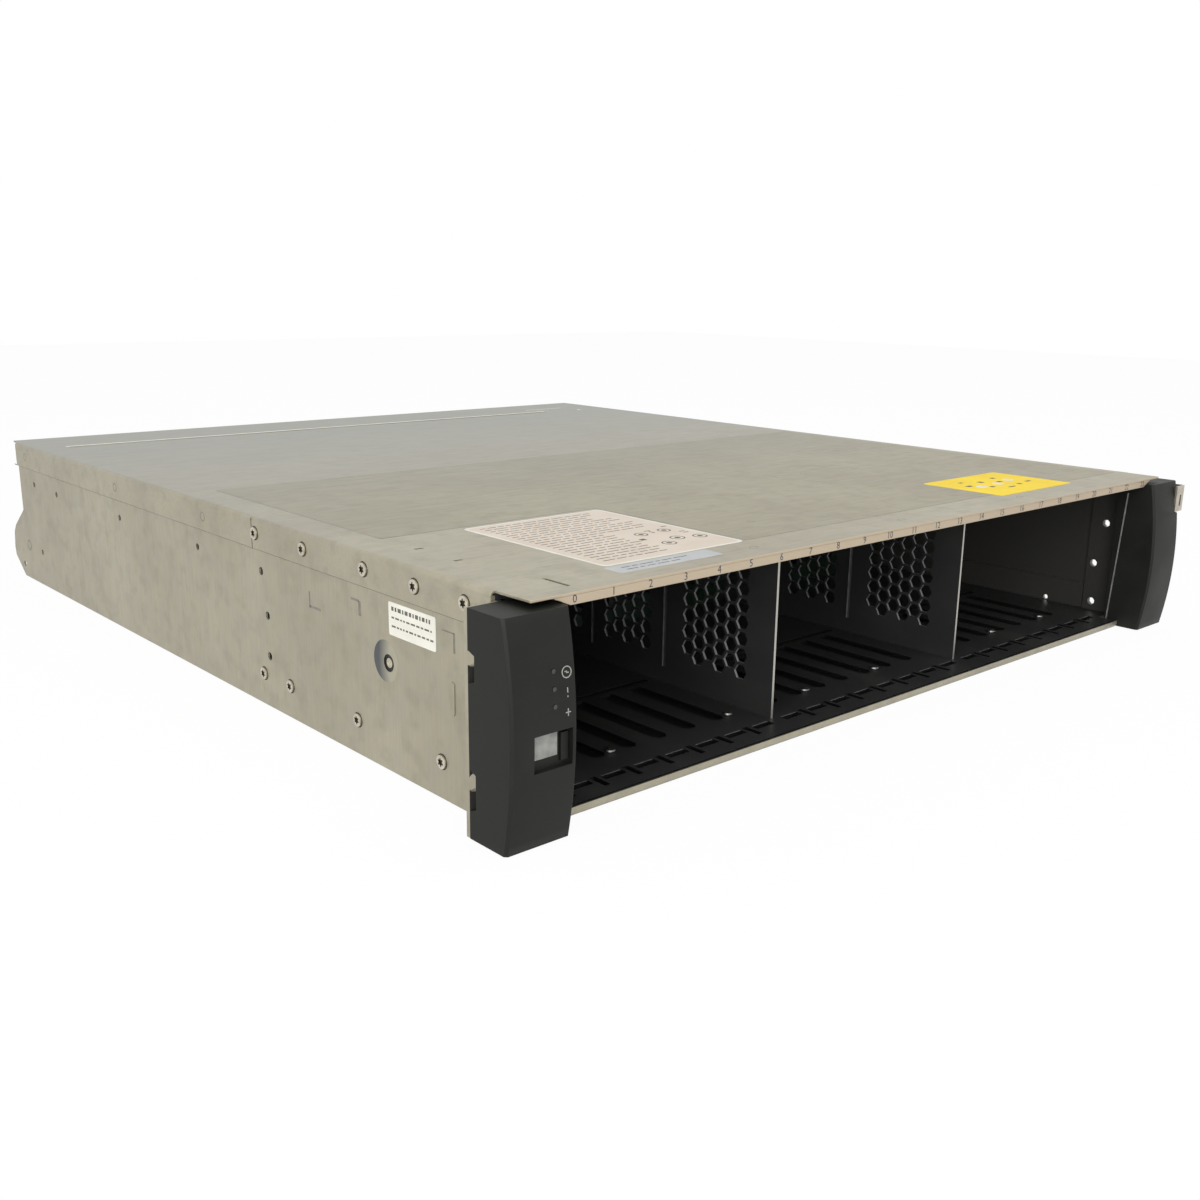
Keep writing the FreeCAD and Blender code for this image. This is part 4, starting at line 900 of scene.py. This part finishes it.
leftFacing = (math.radians(90), 0, math.radians(-90))
sideLabel = {"centre": (60.9, 62.1), "size": (31.0, 13.0), "corner": 0.8, "lift": 0.08,
             "span": (-13.5, 12.5), "rows": 3, "firstRow": 4.0, "pitch": 3.4, "tick": (0.8, 3.0),
             "gap": 0.8, "tall": 1.6, "low": 0.7, "seed": 7}
scribeLine = 0.5
scribes = (
    ((137.0, 60.4), (136.6, 54.0), (128.4, 54.5)),
    ((103.4, 64.5), (98.0, 64.0), (96.8, 58.6)),
    ((41.0, 65.0), (34.4, 65.0), (33.8, 58.0)),
)
# Rings pressed into the skirt, and the last one into the side plate: depth, height, radius, line.
weldMarks = ((233.0, 77.6, 2.3, 0.5), (338.6, 77.6, 2.3, 0.5), (480.0, 77.6, 2.3, 0.5),
             (491.5, 21.6, 3.4, 0.9))


def onSide(piece, face, lift):
    # A flat piece drawn with (minus depth, height) is turned onto a left face.
    return settle(piece, (face - lift * mm, fromFront(0), 0), leftFacing)


skirtSeams = {"foot": 70.75, "line": 0.5, "joint": 184.0, "span": (12.0, 504.0), "top": 84.4}


def addSkirtSeams():
    # Dark shadow gaps under the cover skirts and where the two covers meet.
    q = skirtSeams
    low, high = q["span"]
    rows = [(-(low + high) / 2, q["foot"], high - low, q["line"])]
    under = barPieces("skirtSeam", rows)
    joint = barPieces("coverJoint", [(-q["joint"], (q["foot"] + q["top"]) / 2, q["line"],
                                      q["top"] - q["foot"])])
    dress(onSide(under, sideFace, -0.01), "seamShade")
    dress(onSide(joint, skirtFace, -0.01), "seamShade")


def addSideMarks():
    # A small paper label with ruled ticks, scribed corners and the rings of spot welds.
    b = sideLabel
    depth, height = b["centre"]
    label = sheetPiece("sideLabel", *b["size"], b["lift"], b["corner"])
    label = settle(label, (-depth * mm, height * mm, 0))
    dress(onSide(label, sideFace, -0.02), "labelRim")
    rows = []
    dice = random.Random(b["seed"])
    for row in range(b["rows"]):
        x = b["span"][0] - depth
        while x < b["span"][1] - depth:
            width = dice.uniform(*b["tick"])
            rows.append((x + width / 2, height + b["firstRow"] - row * b["pitch"], width,
                         b["low"] if row else b["tall"]))
            x += width + b["gap"]
    ink = onSide(barPieces("sideLabelLines", rows), sideFace, b["lift"] - 0.02)
    dress(ink, "labelInk")
    bars = []
    for path in scribes:
        for (y0, z0), (y1, z1) in zip(path, path[1:]):
            bars.append((-(y0 + y1) / 2, (z0 + z1) / 2, abs(y1 - y0) + scribeLine,
                         abs(z1 - z0) + scribeLine))
    marks = onSide(barPieces("scribedMarks", bars, 0.03), sideFace, 0.0)
    dress(marks, "scribe")
    rings = [settle(discPiece("weld", radius, 0.03, radius - line), (-y * mm, z * mm, 0))
             for y, z, radius, line in weldMarks]
    dress(onSide(joinPieces(rings[:3], "weldMarks"), skirtFace, 0.0), "scribe")
    dress(onSide(rings[3], sideFace, 0.0), "scribe")


lockDish = {"depth": 76.5, "height": 44.3, "hole": 3.5, "rim": 0.7, "reach": 8.4, "rise": 0.55,
            "shift": 3.0, "pin": 1.9, "thick": 0.35, "emboss": (35.4, 40.6), "embossSize": (2.6, 12.6),
            "embossCorner": 1.1, "foot": 0.04, "pocket": 0.03, "bevel": 0.5, "lift": 0.2}


def addLockDish():
    # A pressed cone around the lock hole, longer toward the rear, with the lock's pin inside.
    d = lockDish
    freshPiece()
    bpy.ops.mesh.primitive_circle_add(vertices=28, radius=d["reach"] * mm, fill_type="NGON")
    dish = bpy.context.object
    dish.name = "lockDish"
    editPiece(dish)
    pull(0, 0, d["foot"] * mm)
    bpy.ops.mesh.inset(thickness=(d["reach"] - d["hole"] - d["rim"]) * mm)
    bpy.ops.transform.translate(value=(d["shift"] * mm, 0, d["rise"] * mm))
    bpy.ops.mesh.inset(thickness=d["rim"] * mm)
    pull(0, 0, -(d["rise"] + d["pocket"]) * mm)
    leaveEdit()
    place = ((d["depth"] + d["shift"]) * -mm, d["height"] * mm, 0)
    dish = settle(dish, place)
    dish.data.materials.append(finishes["dish"])
    dish.data.materials.append(finishes["socket"])
    middle = Vector((-d["depth"] * mm, d["height"] * mm))
    # The faces in the lock hole are painted near-black, as painted shade in the hole.
    for face in dish.data.polygons:
        if (face.center.xy - middle).length < (d["hole"] + 0.1) * mm:
            face.material_index = 1
    onSide(dish, sideFace, -0.02)
    smooth(dish, 50)
    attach(dish, "chassis")
    pin = discPiece("lockPin", d["pin"], d["thick"], 0, 16)
    shapeTop(pin, d["thick"], d["bevel"], -d["lift"], True)
    settle(pin, (-d["depth"] * mm, d["height"] * mm, 0))
    dress(onSide(pin, sideFace, -0.02), "rivet")
    depth, height = d["emboss"]
    emboss = sheetPiece("sideEmboss", *d["embossSize"], d["thick"], d["embossCorner"])
    shapeTop(emboss, d["thick"], d["bevel"], d["lift"])
    settle(emboss, (-depth * mm, height * mm, 0))
    dress(onSide(emboss, sideFace, -0.02), "zincCover")


# Marks pressed into the cover's front

coverMarks = {"clinch": 1.9, "clinches": ((-93.0, 190.0), (-10.0, 165.0), (-60.0, 42.0), (70.0, 120.0),
                            (130.0, 190.0)),
              "slots": ((-204.0, 57.0, 6.4, 2.2), (-204.0, 83.0, 6.4, 2.2), (-197.75, 8.0, 2.0, 14.6)),
              "ovals": ((-100.0, 4.5), (-3.0, 4.0), (96.0, 4.5)), "long": 5.0, "wide": 3.0,
              "bars": ((173.0, 473.0, 36.0, 0.9), (-22.0, 458.8, 368.0, 2.0)),
              "lightDot": (194.0, 453.5, 3.6, 2.6)}


def addCoverMarks():
    # Pressed ovals in the tongue, round clinch marks behind it and the painted highlights at the rear.
    # Dark rings for the clinch marks and pressed ovals: duller pressed zinc, and painted shade in their
    # hollows.
    clinches = [settle(discPiece("clinch", coverMarks["clinch"], 0.02, coverMarks["clinch"] - 0.4, 16),
                       onCover(x, y, 0.04)) for x, y in coverMarks["clinches"]]
    dress(joinPieces(clinches, "clinchMarks"), "scribe")
    ovals = []
    for x, y in coverMarks["ovals"]:
        oval = discPiece("oval", coverMarks["long"] / 2, 0.03, coverMarks["long"] / 2 - 0.45)
        oval.scale = (1, coverMarks["wide"] / coverMarks["long"], 1)
        ovals.append(settle(oval, (x * mm, y * mm, 0)))
    ovals = settle(joinPieces(ovals, "coverOvals"), onCover(0, 0, -0.005))
    dress(ovals, "scribe")
    # Dark plates under the cover slots: painted shade seen through the slots.
    shades = settle(barPieces("slotShades", coverMarks["slots"], 0.05), onCover(0, 0, -0.95))
    dress(shades, "socket")
    # Painted highlights: light bars and a dot on and beside the rear cross-bead.
    bars = barPieces("paintedHighlightBars", coverMarks["bars"], 0.03)
    x, y, width, length = coverMarks["lightDot"]
    dot = discPiece("dot", width / 2, 0.03)
    dot.scale = (1, length / width, 1)
    bars = joinPieces([bars, settle(dot, (x * mm, y * mm, 0))], "paintedHighlightBars")
    dress(settle(bars, onCover(0, 0, -0.005)), "paintedHighlight")


# Details of the rear units

rearUnits = {
    "moduleScrews": ((104.0, 4.8), (-104.0, 4.8), (104.0, 34.6), (-104.0, 34.6)),
    "supplyScrews": ((101.2, 79.4), (5.0, 78.2), (30.0, 4.6)),
    "moduleLenses": ((-50.0, 5.6), (-43.0, 5.6), (-36.0, 5.6)),
    "supplyLenses": ((34.0, 70.0), (34.0, 63.0)),
    "lens": 1.3, "lensHeight": 0.4, "lensCrown": (0.4, 0.25), "legend": (2.4, 0.5), "legendRise": 3.0,
    "panel": 1.6, "sink": 0.05,
}


rearFacing = (math.radians(-90), 0, 0)


def addRearDetails():
    r = rearUnits
    head = torxHead("rearHead")
    for body in ("lower_module", "upper_module", "left_psu", "right_psu"):
        face = nodeEdge(body + "_case", 1, True) + r["panel"] * mm
        low = nodeEdge(body + "_face", 2, False) / mm
        kind = "module" if "module" in body else "supply"
        inner = nodeEdge(body + "_face", 0, body == "left_psu") / mm
        turn = 1 if body == "right_psu" else -1
        spots = {}
        for name in ("Screws", "Lenses"):
            spots[name] = [(x if kind == "module" else inner + turn * x, low + z)
                           for x, z in r[kind + name]]
        screws = [copyPiece(head, "screw", (x * mm, face - r["sink"] * mm, z * mm), rearFacing)
                  for x, z in spots["Screws"]]
        screws = joinPieces(screws, body + "Screws")
        smooth(screws)
        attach(screws, body)
        for index, (x, z) in enumerate(spots["Lenses"]):
            lens = discPiece(body + "Lens" + str(index), r["lens"], r["lensHeight"], 0, 14)
            shapeTop(lens, r["lensHeight"], *r["lensCrown"])
            settle(lens, (x * mm, face - r["sink"] * mm, z * mm), rearFacing)
            smooth(lens, 50)
            dress(lens, "lensAmber" if index == 1 else "lensGreen", body)
        bars = [settle(sheetPiece("legend", *r["legend"], 0.04),
                       (x * mm, face - 0.01 * mm, (z + r["legendRise"]) * mm), rearFacing)
                for x, z in spots["Lenses"]]
        dress(joinPieces(bars, body + "Legend"), "inkBlue", body)
    bpy.data.objects.remove(head)


# Moulded seam on the inner wall of the end caps, coloured light grey as a painted highlight

capSeam = {"top": (2.4, 76.0), "foot": (6.9, 1.6), "line": 0.7, "rise": 0.25}


def addCapSeams():
    (y0, z0), (y1, z1) = capSeam["top"], capSeam["foot"]
    length = math.hypot(y1 - y0, z0 - z1)
    lean = math.atan2(y1 - y0, z0 - z1)
    for body, side in (("left_cap", -1), ("right_cap", 1)):
        seam = sheetPiece(body + "Seam", capSeam["line"], length, capSeam["rise"])
        seam = settle(seam, None, (0, 0, -side * lean))
        face = abs(nodeEdge("right_end_cap", 0, False))
        place = (side * (face + 0.05 * mm), fromFront((y0 + y1) / 2), (z0 + z1) / 2 * mm)
        seam = settle(seam, place, (math.radians(90), 0, math.radians(-90 * side)))
        dress(seam, "paintedEdgeHighlight", body)


# Fine edges on the CAD pieces

edgeBreaks = {
    "front_cover": (0.5, 2), "rear_cover": (0.5, 2), "left_end_cap": (0.8, 3), "right_end_cap": (0.8, 3),
    "base_pan": (0.25, 1), "left_psu_face": (0.4, 2), "right_psu_face": (0.4, 2),
    "left_psu_lever": (0.6, 2), "right_psu_lever": (0.6, 2), "lower_module_left_lever": (0.5, 2),
    "lower_module_right_lever": (0.5, 2), "upper_module_left_lever": (0.5, 2),
    "upper_module_right_lever": (0.5, 2),
}


weldReach, breakAngle = 0.02, 40


def breakEdges():
    # Bends and moulded corners get a small radius, so they catch the light.
    for name, (width, segments) in edgeBreaks.items():
        node = frame["nodes"][name]
        weld = node.modifiers.new("weld", "WELD")
        weld.merge_threshold = weldReach * mm
        bevel = node.modifiers.new("edgeBreak", "BEVEL")
        bevel.width = width * mm
        bevel.segments = segments
        bevel.limit_method = "ANGLE"
        bevel.angle_limit = math.radians(breakAngle)


breakEdges()
addCoverFilm()
addCoverFilmEdge()
addLabels()
print("cover film and labels added")
addSlotNumbers()
addCapIcons()
print("numbers and icons added")
addScrews()
addFloorRivets()
addBayWear()
print("screws, rivets and rubbed edges added")
addSkirtSeams()
addSideMarks()
addLockDish()
addRearDetails()
addCapSeams()
addCoverMarks()
print("side and cover marks added")


# Stage and light

stage = {"floorSize": 6.0, "floorDrop": 0.4, "floorGrey": 0.9, "whiteShare": 0.95, "worldLevel": 0.62,
         "aim": (0, 0, 0.05)}


def seenDirectly(tree):
    # 1 for rays from the camera or through a glossy or clear surface.
    path = addNode(tree, "ShaderNodeLightPath")
    return joinMasks(tree, path.outputs["Is Camera Ray"], ("MAXIMUM", path.outputs["Is Glossy Ray"]),
                     ("MAXIMUM", path.outputs["Is Transmission Ray"]))


def addStage():
    bpy.ops.mesh.primitive_plane_add(size=stage["floorSize"], location=(0, 0, -stage["floorDrop"] * mm))
    floor = bpy.context.object
    floor.name = "studioFloor"
    bpy.ops.object.transform_apply(location=True)
    material, tree, place = newMaterial("paleStudioFloor")
    share = addNode(tree, "ShaderNodeMath", {"operation": "MULTIPLY", 1: stage["whiteShare"]},
                    {0: seenDirectly(tree)})
    matt = addNode(tree, "ShaderNodeBsdfDiffuse", {"Color": (*[stage["floorGrey"]] * 3, 1)})
    white = addNode(tree, "ShaderNodeEmission", {"Color": (1, 1, 1, 1), "Strength": 1.0})
    mixed = addNode(tree, "ShaderNodeMixShader", None, {0: share.outputs[0], 1: matt.outputs[0],
                                                        2: white.outputs[0]})
    addNode(tree, "ShaderNodeOutputMaterial", None, {"Surface": mixed.outputs[0]})
    floor.data.materials.append(material)


def setWorld():
    world = bpy.data.worlds.new("studioWorld")
    bpy.context.scene.world = world
    world.use_nodes = True
    tree = world.node_tree
    tree.nodes.clear()
    light = addNode(tree, "ShaderNodeBackground",
                    {"Color": (1, 1, 1, 1), "Strength": stage["worldLevel"]})
    white = addNode(tree, "ShaderNodeBackground", {"Color": (1, 1, 1, 1), "Strength": 1.0})
    mixed = addNode(tree, "ShaderNodeMixShader", None, {0: seenDirectly(tree), 1: light.outputs[0],
                                                        2: white.outputs[0]})
    addNode(tree, "ShaderNodeOutputWorld", None, {"Surface": mixed.outputs[0]})


lamps = {
    "softTop": {"place": (0.1, -0.6, 2.0), "size": 1.8, "power": 12},
    "softLeft": {"place": (-1.5, -1.2, 0.7), "size": 1.2, "power": 24},
    "softFront": {"place": (-0.5, -2.2, 0.6), "size": 0.6, "power": 5},
}


def addLamps():
    for name, lamp in lamps.items():
        bpy.ops.object.light_add(type="AREA", location=lamp["place"])
        light = bpy.context.object
        light.name = name
        light.data.energy = lamp["power"]
        light.data.size = lamp["size"]
        aim = Vector(stage["aim"]) - light.location
        light.rotation_euler = aim.to_track_quat("-Z", "Y").to_euler()


addStage()
setWorld()
addLamps()
print("stage and lamps set")
